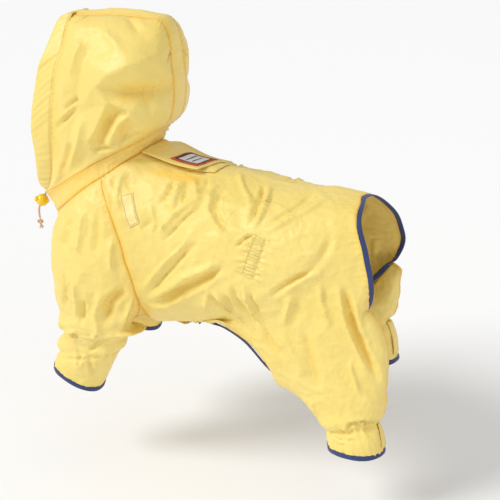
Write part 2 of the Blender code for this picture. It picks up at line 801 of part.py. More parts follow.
def casing_grids():
    """The inner and outer edges of the casing round the face, from left throat to right throat."""
    left = hood_grid(LEFT)[:, 0]
    right = hood_grid(RIGHT)[:, 0]
    back = np.concatenate([left, right[::-1]])
    share = np.linspace(0, 1, len(left))
    front_left = along(FACE_EDGE[:-1], share)
    front_right = posed_hood(front_left, RIGHT)
    front = np.concatenate([front_left, front_right[::-1]])
    return front, back


def opening_line(backs, inners, chest):
    """Points of the cloth's free edge round the opening, each with its normal and one inside."""
    _, first = back_rows()
    belly = first - OPEN_STEPS
    line = []
    for side in (LEFT, RIGHT):
        back, inner = backs[side], inners[side]
        back_normal = normals_of(back)
        inner_normal = normals_of(inner)
        half = [(back[i, -1], back_normal[i, -1], back[i, -2]) for i in range(first + 1)]
        half += [
            (inner[0, j], inner_normal[0, j], inner[1, j]) for j in range(inner.shape[1] - 2, 0, -1)
        ]
        half += [(back[i, 0], back_normal[i, 0], back[i, 3]) for i in range(first, belly - 1, -1)]
        line.append(half if side == LEFT else half[::-1][:-1])
    middle = chest.shape[1] // 2
    return line[0] + [(chest[-1, middle], np.array((0, 0, -1.0)), chest[-2, middle])] + line[1]


def edge_frame(triples):
    """Edge points, unit ways into the cloth square to the edge, and unit outward normals."""
    edge, normal, inside = (np.array([triple[i] for triple in triples]) for i in range(3))
    normal = normal * np.sign((normal * (edge - np.array((40, 0, -110)))).sum(1, keepdims=True))
    tangent = unit(np.roll(edge, -1, 0) - np.roll(edge, 1, 0))
    inward = np.cross(normal, tangent)
    inward *= np.sign((inward * (inside - edge)).sum(1, keepdims=True))
    for _ in range(2):
        inward = unit(inward + 0.6 * (np.roll(inward, 1, 0) + np.roll(inward, -1, 0)))
        inward = unit(inward - tangent * (inward * tangent).sum(1, keepdims=True))
    square = np.cross(tangent, inward)
    return edge, inward, square * np.sign((square * normal).sum(1, keepdims=True))


def build_opening_tape(backs, inners, chest, look):
    edge, inward, normal = edge_frame(opening_line(backs, inners, chest))
    line = edge - inward * (TAPE_WIDTH + OPENING_GAP) - normal * WALL / 2
    for _ in range(2):
        line = (np.roll(line, 1, 0) + 2 * line + np.roll(line, -1, 0)) / 4
    tape("binding_opening", line, inward, normal, look, width=TAPE_WIDTH - 0.2)


def hem_tape(name, ring, above, centre, look):
    """The tape round a hem: the ring is its lower edge, and `above` the row over it."""
    inward = unit(above - ring)
    tangent = unit(np.roll(ring, -1, 0) - np.roll(ring, 1, 0))
    normal = unit(np.cross(tangent, inward))
    if (normal * (ring - centre)).sum() < 0:
        normal = -normal
    tape(name, ring - normal * WALL / 2, inward, normal, look, width=TAPE_WIDTH - 0.35)


def tree_of(grid):
    rows, columns = grid.shape[:2]
    faces = [
        (i * columns + j, i * columns + j + 1, (i + 1) * columns + j + 1, (i + 1) * columns + j)
        for i in range(rows - 1)
        for j in range(columns - 1)
    ]
    return BVHTree.FromPolygons([tuple(point) for point in grid.reshape(-1, 3)], faces)


def laid(tree, corners, rows, columns, toward, lift, rounding=0.0):
    """Points over the cloth under four corners, found along `toward` and lifted off it."""
    corners = np.array(corners, float)
    toward = np.array(toward, float)
    v, u = np.linspace(0, 1, rows + 1)[:, None], np.linspace(0, 1, columns + 1)[None, :]
    squeeze = 1 - rounding * (2 * v - 1) ** 6
    u = 0.5 + (u - 0.5) * squeeze
    weights = ((1 - u) * (1 - v), u * (1 - v), u * v, (1 - u) * v)
    flat = sum(weight[..., None] * corner for weight, corner in zip(weights, corners))
    grid = np.empty_like(flat)
    for index in np.ndindex(flat.shape[:2]):
        start = flat[index] - toward * 200
        point, normal, _, _ = tree.ray_cast(Vector(start), Vector(toward))
        normal = np.array(normal)
        normal *= -np.sign(normal @ toward)
        grid[index] = np.array(point) + normal * lift
    return grid


def facing(grid, way):
    """The grid with its rows turned round if need be, so that it faces this way."""
    return grid if (normals_of(grid) * np.array(way)).sum() > 0 else grid[::-1]


def build_back_details(grid, yellow, red, pale):
    """The flap over the leash hole with its tab and label, and the patch on the shoulder."""
    tree = tree_of(grid)
    down = (0, 0, -1)
    tab = laid(tree, FLAP_TAB, 5, 6, down, 0.7 + LAYER)
    cloth("flap_tab", facing(tab, (0, 0, 1)), yellow, wall=LAYER)
    flap = laid(tree, FLAP, 8, 8, down, 1.5 + 2 * LAYER, rounding=0.05)
    cloth("leash_flap", facing(flap, (0, 0, 1)), yellow, wall=LAYER)
    label = laid(tree_of(flap), LABEL, 4, 4, down, 0.6 + LAYER)
    cloth("label", facing(label, (0, 0, 1)), red, wall=LAYER)
    patch = laid(tree, PATCH, 4, 3, (0, 1, 0), 0.6 + LAYER)
    cloth("patch_left", facing(patch, (0, -1, 0)), pale, wall=LAYER)


def hem_tab(name, outer, inner, centre, look):
    """The tab over the slit at the back of a hind hem, across the leg's rear seam."""
    rows = slice(-4, None)
    grid = np.stack([outer[rows, -3], outer[rows, -2], outer[rows, -1], inner[rows, -2]], 1)
    grid = through(np.arange(4), grid, np.linspace(*HEM_TAB_ROWS, 5))
    grid = through(np.arange(4), grid.swapaxes(0, 1), np.linspace(0.6, 3, 5)).swapaxes(0, 1)
    grid = outward(grid, centre)
    cloth(name, grid + normals_of(grid) * (0.7 + LAYER), look, wall=LAYER)


def spun(name, profile, centre, axis, segments, look):
    """A solid turned round an axis from a closed profile of (radius, height) points."""
    up = Vector(axis).normalized()
    turn = Vector((0, 0, 1)).rotation_difference(up)
    points, faces = [], []
    count = len(profile)
    for i in range(segments):
        angle = 2 * np.pi * i / segments
        for radius, height in profile:
            point = Vector((radius * np.cos(angle), radius * np.sin(angle), height))
            points.append(np.array(turn @ point) + centre)
    for i in range(segments):
        for j in range(count):
            after = (i + 1) % segments
            up_one = (j + 1) % count
            faces.append(
                (i * count + j, after * count + j, after * count + up_one, i * count + up_one)
            )
    if volume(points, faces) < 0:
        faces = [face[::-1] for face in faces]
    return add_object(name, points, faces, look)


def build_cord(yellow, cord_look):
    """The drawcord from the casing's end through its ball lock, down to the knot."""
    curve = bpy.data.curves.new("drawcord", "CURVE")
    curve.dimensions = "3D"
    curve.bevel_depth = CORD_RADIUS * MM
    curve.bevel_resolution = 2
    curve.use_fill_caps = True
    spline = curve.splines.new("POLY")
    places = np.array(CORD_LINE)
    spline.points.add(len(places) - 1)
    for point, place in zip(spline.points, places):
        point.co = (*(place * MM), 1)
    curve.materials.append(cord_look)
    made = bpy.data.objects.new("drawcord", curve)
    bpy.data.collections["dog_raincoat"].objects.link(made)
    angle = np.linspace(-1, 1, 10) * np.arccos(LOCK_BORE / LOCK_RADIUS)
    profile = [(LOCK_RADIUS * np.cos(a), LOCK_RADIUS * np.sin(a)) for a in angle]
    way = np.array(CORD_LINE[4], float) - CORD_LINE[2]
    spun("cord_lock", profile, np.array(CORD_LINE[3], float), way, 16, yellow)
    angle = np.linspace(-np.pi / 2, np.pi / 2, 7)[1:-1]
    knot = [(KNOT_RADIUS * np.cos(a), KNOT_RADIUS * 1.15 * np.sin(a)) for a in angle]
    way = unit(np.array(CORD_LINE[-1], float) - CORD_LINE[-2])
    centre = np.array(CORD_LINE[-1], float) + way * (KNOT_RADIUS * 1.15 + 0.35)
    ball("cord_knot", knot, centre, way, 10, cord_look)


def ball(name, profile, centre, axis, segments, look):
    """A closed solid turned from an open profile, with a point at each end."""
    turn = Vector((0, 0, 1)).rotation_difference(Vector(axis).normalized())
    points = []
    for i in range(segments):
        angle = 2 * np.pi * i / segments
        for radius, height in profile:
            point = Vector((radius * np.cos(angle), radius * np.sin(angle), height))
            points.append(np.array(turn @ point) + centre)
    reach = KNOT_RADIUS * 1.15
    points += [np.array(turn @ Vector((0, 0, end * reach))) + centre for end in (-1, 1)]
    count, low = len(profile), segments * len(profile)
    faces = []
    for i in range(segments):
        after = (i + 1) % segments
        for j in range(count - 1):
            low_a, low_b = i * count + j, after * count + j
            faces.append((low_a, low_b, low_b + 1, low_a + 1))
        faces.append((low, after * count, i * count))
        faces.append((i * count + count - 1, after * count + count - 1, low + 1))
    if volume(points, faces) < 0:
        faces = [face[::-1] for face in faces]
    return add_object(name, points, faces, look)


def add_tape_and_tabs(backs, inners, sleeves, yellow, navy):
    """The hem tapes of the four legs and the tabs over the hind slits."""
    for side, word in ((LEFT, "left"), (RIGHT, "right")):
        back, inner, sleeve = backs[side], inners[side], sleeves[side]
        ring = np.concatenate([back[-1], inner[-1][::-1][1:-1]])
        above = np.concatenate([back[-2], inner[-2][::-1][1:-1]])
        hem_tape(f"binding_hind_{word}", ring, above, ring.mean(0), navy)
        hem_tab(f"hem_tab_{word}", back, inner, ring.mean(0), yellow)
        ring = sleeve[-1, :-1]
        hem_tape(f"binding_front_{word}", ring, sleeve[-2, :-1], ring.mean(0), navy)


def casing_grid():
    """The casing's face, from the left throat round the face to the right throat."""
    front, back = casing_grids()
    middle = (front + back) / 2
    return np.stack([front, middle + unit(middle - np.array((-170, 0, 60))) * 1.2, back], 1)


def band_grid():
    """The neck band between its two loops, with its upper points at the hood's own points."""
    low = 180 - np.degrees(np.arcsin(GUSSET_HALF / HOOD_SEAM[3]))
    left = np.linspace(HOOD_START, low, HOOD_COLUMNS + 1)
    throat = np.array((-0.5, 0.0, 0.5)) * HOOD_START
    lower = neck_loop(NECK_SEAM, np.concatenate([throat, left, [180], 360 - left[::-1]]))
    upper = [*neck_loop(HOOD_SEAM, throat), *hood_grid(LEFT)[0]]
    upper += [neck_loop(HOOD_SEAM, 180), *hood_grid(RIGHT)[0][::-1]]
    waist = (lower + upper) / 2
    return np.stack([lower, waist + unit(np.array((-186.0, 0, -10)) - waist) * 1.5, upper])


def build_panels(look):
    """Every lofted panel, with walls that meet squarely at the seams. Gives the bare grids."""
    backs = {side: back_grid(side) for side in (LEFT, RIGHT)}
    inners = {side: inner_grid(side, backs[side]) for side in (LEFT, RIGHT)}
    sleeves = {side: sleeve_grid(side) for side in (LEFT, RIGHT)}
    chest = chest_grid()
    hem = TAPE_WIDTH
    back = outward(np.concatenate([backs[LEFT][::-1], backs[RIGHT][1:]]), (20, 0, -90))
    panels = {"back_body": (back, (hem, hem, SEAM))}
    panels["chest_panel"] = (outward(chest, (-180, 0, -100)), (SEAM, SEAM, SEAM))
    for side, word in ((LEFT, "left"), (RIGHT, "right")):
        inner = outward(inners[side], (115, 60 * side, -220))
        flipped = not np.allclose(inner[0], inners[side][0])
        ends = (hem, LEG_TOP_GAP) if flipped else (LEG_TOP_GAP, hem)
        panels[f"hind_inner_{word}"] = (inner, (*ends, LEG_SIDE_GAP))
        sleeve = outward(sleeves[side], (-180, 60 * side, -120))
        flipped = not np.allclose(sleeve[0], sleeves[side][0])
        panels[f"sleeve_{word}"] = (sleeve, (hem, SEAM, SEAM) if flipped else (SEAM, hem, SEAM))
        hood = outward(hood_grid(side), (-160, 0, 60))
        panels[f"hood_side_{word}"] = (hood, (SEAM, SEAM, SEAM))
    panels["hood_gusset"] = (outward(gusset_grid(), (-160, 0, 60)), (SEAM, SEAM, SEAM))
    panels["hood_casing"] = (outward(casing_grid(), (-160, 0, 60)), CASING_GAPS)
    panels["neck_band"] = (outward(band_grid(), (-186, 0, -10)), BAND_GAPS)
    normals = seam_normals({name: (row[0], name == "neck_band") for name, row in panels.items()})
    for name, (grid, (top, bottom, sides)) in panels.items():
        trimmed = short_of(grid, top, bottom, sides)
        wall = CASING_THICK if name == "hood_casing" else WALL
        panel(name, trimmed, normals[name], look, name == "neck_band", wall)
    return back, backs, inners, sleeves, chest


def main():
    clear_scene()
    made = bpy.data.collections.new("dog_raincoat")
    bpy.context.scene.collection.children.link(made)
    yellow = material("yellow woven nylon", YELLOW, 0.5)
    navy = material("navy binding tape", NAVY, 0.7)
    red = material("red woven label", RED, 0.7)
    pale = material("pale reflective patch", PALE, 0.45)
    beige = material("beige cord", BEIGE, 0.8)
    bright = material("bright yellow plastic", BRIGHT, 0.3)
    back, backs, inners, sleeves, chest = build_panels(yellow)
    add_tape_and_tabs(backs, inners, sleeves, yellow, navy)
    build_opening_tape(backs, inners, chest, navy)
    build_back_details(back, yellow, red, pale)
    build_cord(bright, beige)


main()
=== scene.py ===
"""Dresses a dog's hooded raincoat: folded cloth panels, bindings, stitching, label and drawcord.

The scene is in metres. Tables hold millimetres for the coat's left side, in the frame of the
solids: head end -X, tail end +X, left side -Y, +Z up.
"""

import logging
from dataclasses import dataclass, field
from enum import Enum

import bmesh
import bpy
import numpy as np
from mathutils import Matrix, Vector, geometry
from mathutils.bvhtree import BVHTree

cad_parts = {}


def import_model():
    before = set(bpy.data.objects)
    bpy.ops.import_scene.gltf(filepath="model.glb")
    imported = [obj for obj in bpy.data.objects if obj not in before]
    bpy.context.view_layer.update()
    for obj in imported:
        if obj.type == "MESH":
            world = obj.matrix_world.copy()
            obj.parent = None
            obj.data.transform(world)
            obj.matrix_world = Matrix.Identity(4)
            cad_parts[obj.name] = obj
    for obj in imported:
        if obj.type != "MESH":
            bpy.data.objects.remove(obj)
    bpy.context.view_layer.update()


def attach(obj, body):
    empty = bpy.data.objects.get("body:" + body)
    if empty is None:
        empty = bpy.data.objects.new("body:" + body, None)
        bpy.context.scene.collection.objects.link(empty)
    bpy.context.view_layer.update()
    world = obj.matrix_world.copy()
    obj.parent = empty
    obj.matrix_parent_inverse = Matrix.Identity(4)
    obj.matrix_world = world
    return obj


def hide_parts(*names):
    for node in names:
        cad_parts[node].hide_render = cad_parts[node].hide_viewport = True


MM = 0.001
# Points closer than this, in metres, are one.
WELD = 1e-5
BODY = "root"
LOG = logging.getLogger("raincoat")

Row = tuple[float, ...]
Table = tuple[Row, ...]


class Side(Enum):
    """A side of the coat, as the sign of its Y."""

    LEFT = -1
    RIGHT = 1

    @property
    def word(self) -> str:
        """The side's name in the solids' node names."""
        return self.name.lower()


class Held(Enum):
    """How a cloth piece is held on the wearer."""

    DRAPED = "draped"
    GATHERED = "gathered"
    LAID = "laid"


class Slot(Enum):
    """Names of the material slots."""

    NYLON = "yellow_nylon"
    BINDING = "navy_binding"
    LABEL = "woven_label"
    PATCH = "pale_patch"
    CORD = "beige_cord"
    PLASTIC = "yellow_plastic"


# --------------------------------------------------------------------------- curves and grids


def unit(vectors: np.ndarray) -> np.ndarray:
    """The vectors at length one."""
    return vectors / np.maximum(np.linalg.norm(vectors, axis=-1, keepdims=True), 1e-9)


def smooth(share: np.ndarray) -> np.ndarray:
    """A soft step from 0 to 1."""
    share = np.clip(share, 0, 1)
    return share * share * (3 - 2 * share)


def through(knots: np.ndarray, values: np.ndarray, at: np.ndarray) -> np.ndarray:
    """Reads a smooth curve that passes through given values.

    Args:
        knots: Rising places of the values.
        values: A value, or an array of them, for each knot.
        at: Places to read.

    Returns:
        The curve's values at those places.
    """
    knots, values = np.asarray(knots, float), np.asarray(values, float)
    at = np.clip(np.asarray(at, float), knots[0], knots[-1])
    slopes = np.gradient(values, knots, axis=0)
    i = np.clip(np.searchsorted(knots, at, side="right") - 1, 0, len(knots) - 2)
    step = knots[i + 1] - knots[i]
    shape = (-1,) + (1,) * (values.ndim - 1)
    u, step = ((at - knots[i]) / step).reshape(shape), step.reshape(shape)
    ahead = u * u * (3 - 2 * u)
    bend = u * (1 - u) * step
    level = (1 - ahead) * values[i] + ahead * values[i + 1]
    return level + bend * ((1 - u) * slopes[i] - u * slopes[i + 1])


def along(points: Table | np.ndarray, at: np.ndarray) -> np.ndarray:
    """Reads a smooth line at fractions of its length.

    Args:
        points: Points that the line passes through.
        at: Fractions of its length, from 0 to 1.

    Returns:
        A point for each fraction.
    """
    points = np.asarray(points, float)
    knots = run_of(points)
    return through(knots / knots[-1], points, at)


def run_of(line: np.ndarray) -> np.ndarray:
    """Lengths from a line's start to each of its points."""
    return np.concatenate([[0], np.cumsum(np.linalg.norm(np.diff(line, axis=0), axis=1))])


def close_by(points: np.ndarray, line: np.ndarray, reach: float) -> np.ndarray:
    """Indices of the points in a box that holds a line with this much room."""
    low, high = line.min(0) - reach, line.max(0) + reach
    return np.flatnonzero(((points > low) & (points < high)).all(1))


def nearest(points: np.ndarray, line: np.ndarray) -> tuple[np.ndarray, np.ndarray, np.ndarray]:
    """Finds the place on a line that is nearest to each point.

    Args:
        points: The points.
        line: Points of the line.

    Returns:
        Indices of the line's nearest points, the ways from them, and the squares of the gaps.
    """
    away = points[:, None] - line[None]
    gap = (away**2).sum(2)
    k = gap.argmin(1)
    every = np.arange(len(k))
    return k, away[every, k], gap[every, k]


def loft(sections: np.ndarray, rows: np.ndarray, columns: np.ndarray, spread=None) -> np.ndarray:
    """Spans a grid over a row of sections.

    Args:
        sections: Points of each section.
        rows: Places among the sections, counted from 0.
        columns: Places across each section.
        spread: Places of the sections' own points, even where it isn't given.

    Returns:
        A grid of points, rows by columns.
    """
    sections = np.asarray(sections, float)
    across = through(np.arange(len(sections)), sections, rows)
    spread = np.linspace(0, 1, sections.shape[1]) if spread is None else np.asarray(spread)
    return through(spread, across.swapaxes(0, 1), columns).swapaxes(0, 1)


def normals_of(grid: np.ndarray) -> np.ndarray:
    """Unit normals of a grid, on the side that columns x rows faces."""
    return unit(np.cross(np.gradient(grid, axis=1), np.gradient(grid, axis=0)))


def turned(grid: np.ndarray, out: np.ndarray) -> np.ndarray:
    """The grid with its rows turned round if need be, so that it faces these ways."""
    return grid if (normals_of(grid) * out).sum() > 0 else grid[::-1]


def outward(grid: np.ndarray, inside: Row) -> np.ndarray:
    """The grid, turned so that it faces away from a point."""
    return turned(grid, grid - np.asarray(inside))


def ring_ways(line: np.ndarray) -> np.ndarray:
    """Unit ways along a closed line at each of its points."""
    return unit(np.roll(line, -1, 0) - np.roll(line, 1, 0))


def neighbours(grid: np.ndarray) -> np.ndarray:
    """The mean of the four points beside each inner point of a grid."""
    return (grid[:-2, 1:-1] + grid[2:, 1:-1] + grid[1:-1, :-2] + grid[1:-1, 2:]) / 4


def refined(grid: np.ndarray, step: float) -> np.ndarray:
    """A finer grid through the same points, with cells of about this size."""
    for axis in (0, 1):
        gaps = np.linalg.norm(np.diff(grid, axis=axis), axis=2).mean(axis=1 - axis)
        places = [0.0]
        for i, gap in enumerate(gaps):
            count = max(1, round(gap / step))
            places.extend(i + (np.arange(count) + 1) / count)
        moved = np.moveaxis(grid, axis, 0)
        grid = np.moveaxis(through(np.arange(len(moved)), moved, places), 0, axis)
    return grid


def arc(grid: np.ndarray, axis: int) -> np.ndarray:
    """Lengths from the grid's first line to each point, along this axis."""
    gaps = np.linalg.norm(np.diff(grid, axis=axis), axis=2)
    return np.concatenate([np.zeros_like(np.take(gaps, [0], axis)), np.cumsum(gaps, axis)], axis)


def flat_places(grid: np.ndarray) -> np.ndarray:
    """Places of a grid's points on the flat cloth, in metres."""
    return np.stack([arc(grid, 1), arc(grid, 0)], -1) * MM


def cells(rows: int, columns: int) -> list[tuple[int, int, int, int]]:
    """Four corners of each cell of a grid, row by row."""
    return [
        (i * columns + j, i * columns + j + 1, (i + 1) * columns + j + 1, (i + 1) * columns + j)
        for i in range(rows - 1)
        for j in range(columns - 1)
    ]


def tree_of(grids: list[np.ndarray]) -> BVHTree:
    """A search tree over the cells of some grids."""
    points, faces, low = [], [], 0
    for grid in grids:
        points.append(grid.reshape(-1, 3))
        faces += [tuple(low + c for c in cell) for cell in cells(*grid.shape[:2])]
        low += len(points[-1])
    return BVHTree.FromPolygons([tuple(p) for p in np.concatenate(points)], faces)


# --------------------------------------------------------------------------------- mesh making


def mesh_from(name: str, bm: bmesh.types.BMesh) -> bpy.types.Mesh:
    """A smooth mesh of a finished bmesh, which ends there."""
    mesh = bpy.data.meshes.new(name)
    bm.to_mesh(mesh)
    bm.free()
    mesh.shade_smooth()
    return mesh


def add_object(name: str, data: bpy.types.ID) -> bpy.types.Object:
    """Puts an object of this data in the scene."""
    made = bpy.data.objects.new(name, data)
    bpy.context.scene.collection.objects.link(made)
    return made


def grid_mesh(
    name: str,
    grid: np.ndarray,
    uv: np.ndarray,
    weld: bool = False,
    gathers: np.ndarray | None = None,
    warm: np.ndarray | None = None,
) -> bpy.types.Mesh:
    """Makes a smooth mesh of a grid.

    Args:
        name: Name of the mesh.
        grid: Points in millimetres, rows by columns.
        uv: Places of the points on the flat cloth, in metres.
        weld: Whether rims that meet are joined.
        gathers: Places of the points beside its gathers, in metres.
        warm: How much warm shade is painted on each point, for lying deep in a hollow or near a
            seam, from 0 to 1.

    Returns:
        The mesh.
    """
    rows, columns = grid.shape[:2]
    bm = bmesh.new()
    bmesh.ops.create_grid(bm, x_segments=columns - 1, y_segments=rows - 1, size=1.0)
    mesh = bpy.data.meshes.new(name)
    bm.to_mesh(mesh)
    mesh.vertices.foreach_set("co", (grid * MM).astype(np.float32).ravel())
    corner = np.empty(len(mesh.loops), np.int32)
    mesh.loops.foreach_get("vertex_index", corner)
    for key, places in (("cloth", uv), ("gathers", gathers)):
        if places is not None:
            layer = mesh.uv_layers.new(name=key)
            layer.data.foreach_set("uv", places.reshape(-1, 2)[corner].astype(np.float32).ravel())
    # Stores how much warm shade is painted on each point, for the material to read.
    if warm is not None:
        layer = mesh.attributes.new("warm", "FLOAT", "POINT")
        layer.data.foreach_set("value", warm.astype(np.float32).ravel())
    bm.clear()
    if weld:
        bm.from_mesh(mesh)
        bmesh.ops.remove_doubles(bm, verts=bm.verts, dist=WELD)
        bm.to_mesh(mesh)
    bm.free()
    mesh.shade_smooth()
    return mesh


def add_piece(
    name: str,
    mesh: bpy.types.Mesh,
    look: bpy.types.Material,
    nodes: tuple[str, ...] = (),
) -> bpy.types.Object:
    """Adds a piece that rides on the coat and stands for some solids.

    Args:
        name: Name of the piece.
        mesh: Its mesh, at its place.
        look: Its material.
        nodes: Names of the solids that it replaces.

    Returns:
        The object.
    """
    mesh.materials.clear()
    mesh.materials.append(look)
    made = add_object(name, mesh)
    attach(made, BODY)
    if nodes:
        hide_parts(*nodes)
    LOG.info("%s: %d faces", name, len(mesh.polygons))
    return made


def give_wall(piece: bpy.types.Object, wall: float) -> None:
    """Gives an open cloth surface its thickness in millimetres, on its inner side."""
    shell = piece.modifiers.new("cloth wall", "SOLIDIFY")
    shell.thickness = wall * MM
    shell.offset = -1
    shell.use_rim = True


# ------------------------------------------------------------------------------------- pattern


@dataclass(frozen=True)
class Loop:
    """A sloping oval round the neck."""

    x: float
    z: float
    length: float
    width: float
    slope_x: float
    slope_z: float

    def at(self, degrees: np.ndarray) -> np.ndarray:
        """Points of the loop: 0 degrees at the throat, 180 at the back, left between them."""
        angle = np.radians(np.asarray(degrees, float))
        down = self.length * np.cos(angle)
        y = -self.width * np.sin(angle)
        return np.stack([self.x - down * self.slope_x, y, self.z - down * self.slope_z], -1)

    def angle_of(self, point: Row) -> float:
        """The angle on the left half that lies nearest to a point."""
        degrees = np.linspace(0, 180, 721)
        away = np.linalg.norm(self.at(degrees) - np.array(point), axis=1)
        return float(degrees[away.argmin()])


@dataclass(frozen=True)
class Stance:
    """How the right legs stand against the mirrored left ones: left z, then the move in x and z."""

    hind: Table = (
        (-10, 0, 0), (-45, 11, 0), (-80, 9, 3), (-118, -4, 11),
        (-165, -19, 32), (-200, -19, 50), (-258, -22, 77), (-300, -16, 61),
    )  # fmt: skip
    front: Table = ((-185, 0, 0), (-200, 3, 4), (-230, 14, 24), (-285, 23, 38))

    def posed(self, points: np.ndarray, side: Side) -> np.ndarray:
        """Points of the left side as they stand on this side."""
        points = np.array(points, float)
        if side is Side.LEFT:
            return points
        x, z = points[..., 0].copy(), points[..., 2].copy()
        shares = (np.clip((x + 20) / 110, 0, 1), np.clip((-100 - x) / 30, 0, 1))
        for table, share in zip((self.hind, self.front), shares):
            rows = np.array(sorted(table), float)
            points[..., 0] += smooth(share) * np.interp(z, rows[:, 0], rows[:, 1])
            points[..., 2] += smooth(share) * np.interp(z, rows[:, 0], rows[:, 2])
        points[..., 1] *= -1
        return points

    def unposed(self, points: np.ndarray, side: Side) -> np.ndarray:
        """The left-side points whose pose on this side gives these ones."""
        points = np.array(points, float)
        if side is Side.LEFT:
            return points
        points[..., 1] *= -1
        moved = points.copy()
        for _ in range(12):
            now = self.posed(moved, side)
            now[..., 1] *= -1
            moved += points - now
        return moved


def half_ring(front: Row, rear: Row, depth: float, count: int = 41) -> np.ndarray:
    """A half loop between two points that swings out by `depth` in -Y."""
    front, rear = np.asarray(front, float), np.asarray(rear, float)
    angle = np.linspace(0, np.pi, count)[:, None]
    points = (front + rear) / 2 + (front - rear) / 2 * np.cos(angle)
    points[:, 1] -= depth * np.sin(angle[:, 0]) ** 0.85
    return points


@dataclass(frozen=True)
class SleevePattern:
    """The sleeves: raglan seams, and a ring of cloth for each row below the neck."""

    neck: Loop
    stance: Stance
    columns: int = 26
    # Points round each ring, and the power of its roundness.
    around: int = 11
    roundness: float = 2.3
    # Rows at the raglan's end under the belly, and at the underarm.
    belly: int = 5
    underarm: int = 7
    raglan_rear: Table = (
        (-162, -66, -4), (-151, -80, -24), (-136, -89, -52), (-120, -94, -88),
        (-112, -90, -124), (-112, -79, -152), (-132, -54, -184), (-164, -34, -199),
    )  # fmt: skip
    raglan_front: Table = (
        (-231, -42, -57), (-240, -40, -86), (-240, -39, -118), (-234, -37, -150),
        (-222, -34, -174), (-204, -32, -187), (-184, -32, -195), (-164, -34, -199),
    )  # fmt: skip
    # Centre x, centre y, half length, half width, front z, rear z, degrees left open at each end.
    rings: Table = (
        (-197, -40, 45, 30, -57, -4, 90, 130),
        (-190, -48, 48, 38, -82, -22, 85, 135),
        (-184, -52, 53, 41, -112, -50, 75, 135),
        (-177, -54, 58, 41, -140, -86, 65, 135),
        (-174, -56, 61, 38, -160, -122, 50, 135),
        (-174, -58, 62, 35, -176, -150, 36, 125),
        (-181, -60, 54, 31, -192, -178, 16, 72),
        (-187, -60, 50, 29, -207, -194, 0, 0),
        (-187, -60, 48, 27, -222, -204, 0, 0),
        (-187, -60, 45, 24, -234, -212, 0, 0),
        (-193, -60, 44, 27, -243, -226, 0, 0),
        (-203, -60, 38, 27, -252, -254, 0, 0),
        (-210, -60, 32, 25, -260, -284, 0, 0),
    )

    def sections(self) -> np.ndarray:
        """Rows of points round the left sleeve, from the neck to the hem."""
        made = []
        power = 2 / self.roundness
        for i, (x, y, length, width, front, rear, first, last) in enumerate(self.rings):
            angle = np.radians(np.linspace(first, 360 - last, self.around))
            ahead = np.sign(np.sin(angle)) * abs(np.sin(angle)) ** power
            inner = np.sign(np.cos(angle)) * abs(np.cos(angle)) ** power
            level = front + (rear - front) * (1 - ahead) / 2
            ring = np.stack([x - length * ahead, y + width * inner, level], 1)
            if i < len(self.raglan_rear):
                blend = np.linspace(0, 1, self.around)[:, None]
                ring += (1 - blend) * (np.array(self.raglan_front[i]) - ring[0])
                ring += blend * (np.array(self.raglan_rear[i]) - ring[-1])
            made.append(ring)
        front = self.neck.angle_of(self.raglan_front[0])
        rear = self.neck.angle_of(self.raglan_rear[0])
        made[0] = self.neck.at(np.linspace(front, rear, self.around))
        return np.array(made)

    def rows(self) -> np.ndarray:
        """Row places, with one at the raglan's end, the underarm, the gathers and the hem."""
        upper, arm = np.linspace(0, self.belly, 8), np.linspace(self.belly, self.underarm, 4)
        return np.concatenate([upper, arm[1:], (7.7, 8.4, 9.0, 9.6, 10.3, 11.0, 12.0)])

    def posed_sections(self, side: Side) -> np.ndarray:
        """The sections of this side's sleeve."""
        return self.stance.posed(self.sections(), side)

    def grid(self, side: Side) -> np.ndarray:
        """The sleeve of this side, neck to hem."""
        places = np.linspace(0, 1, self.columns + 1)
        return loft(self.posed_sections(side), self.rows(), places)

    def raglan(self, side: Side) -> np.ndarray:
        """The rear seam from the neck to the belly."""
        rows = self.rows()
        return loft(self.posed_sections(side), rows[rows < self.belly + 0.001], [1.0])[:, 0]

    def chest_edge(self, side: Side) -> np.ndarray:
        """The chest's edge: down the front seam, then back along the rear one."""
        rows, sections = self.rows(), self.posed_sections(side)
        down = loft(sections, rows[rows < self.underarm + 0.001], [0.0])[:, 0]
        under = (rows > self.belly - 0.001) & (rows < self.underarm - 0.001)
        back = loft(sections, rows[under][::-1], [1.0])[:, 0]
        return np.concatenate([down, back])


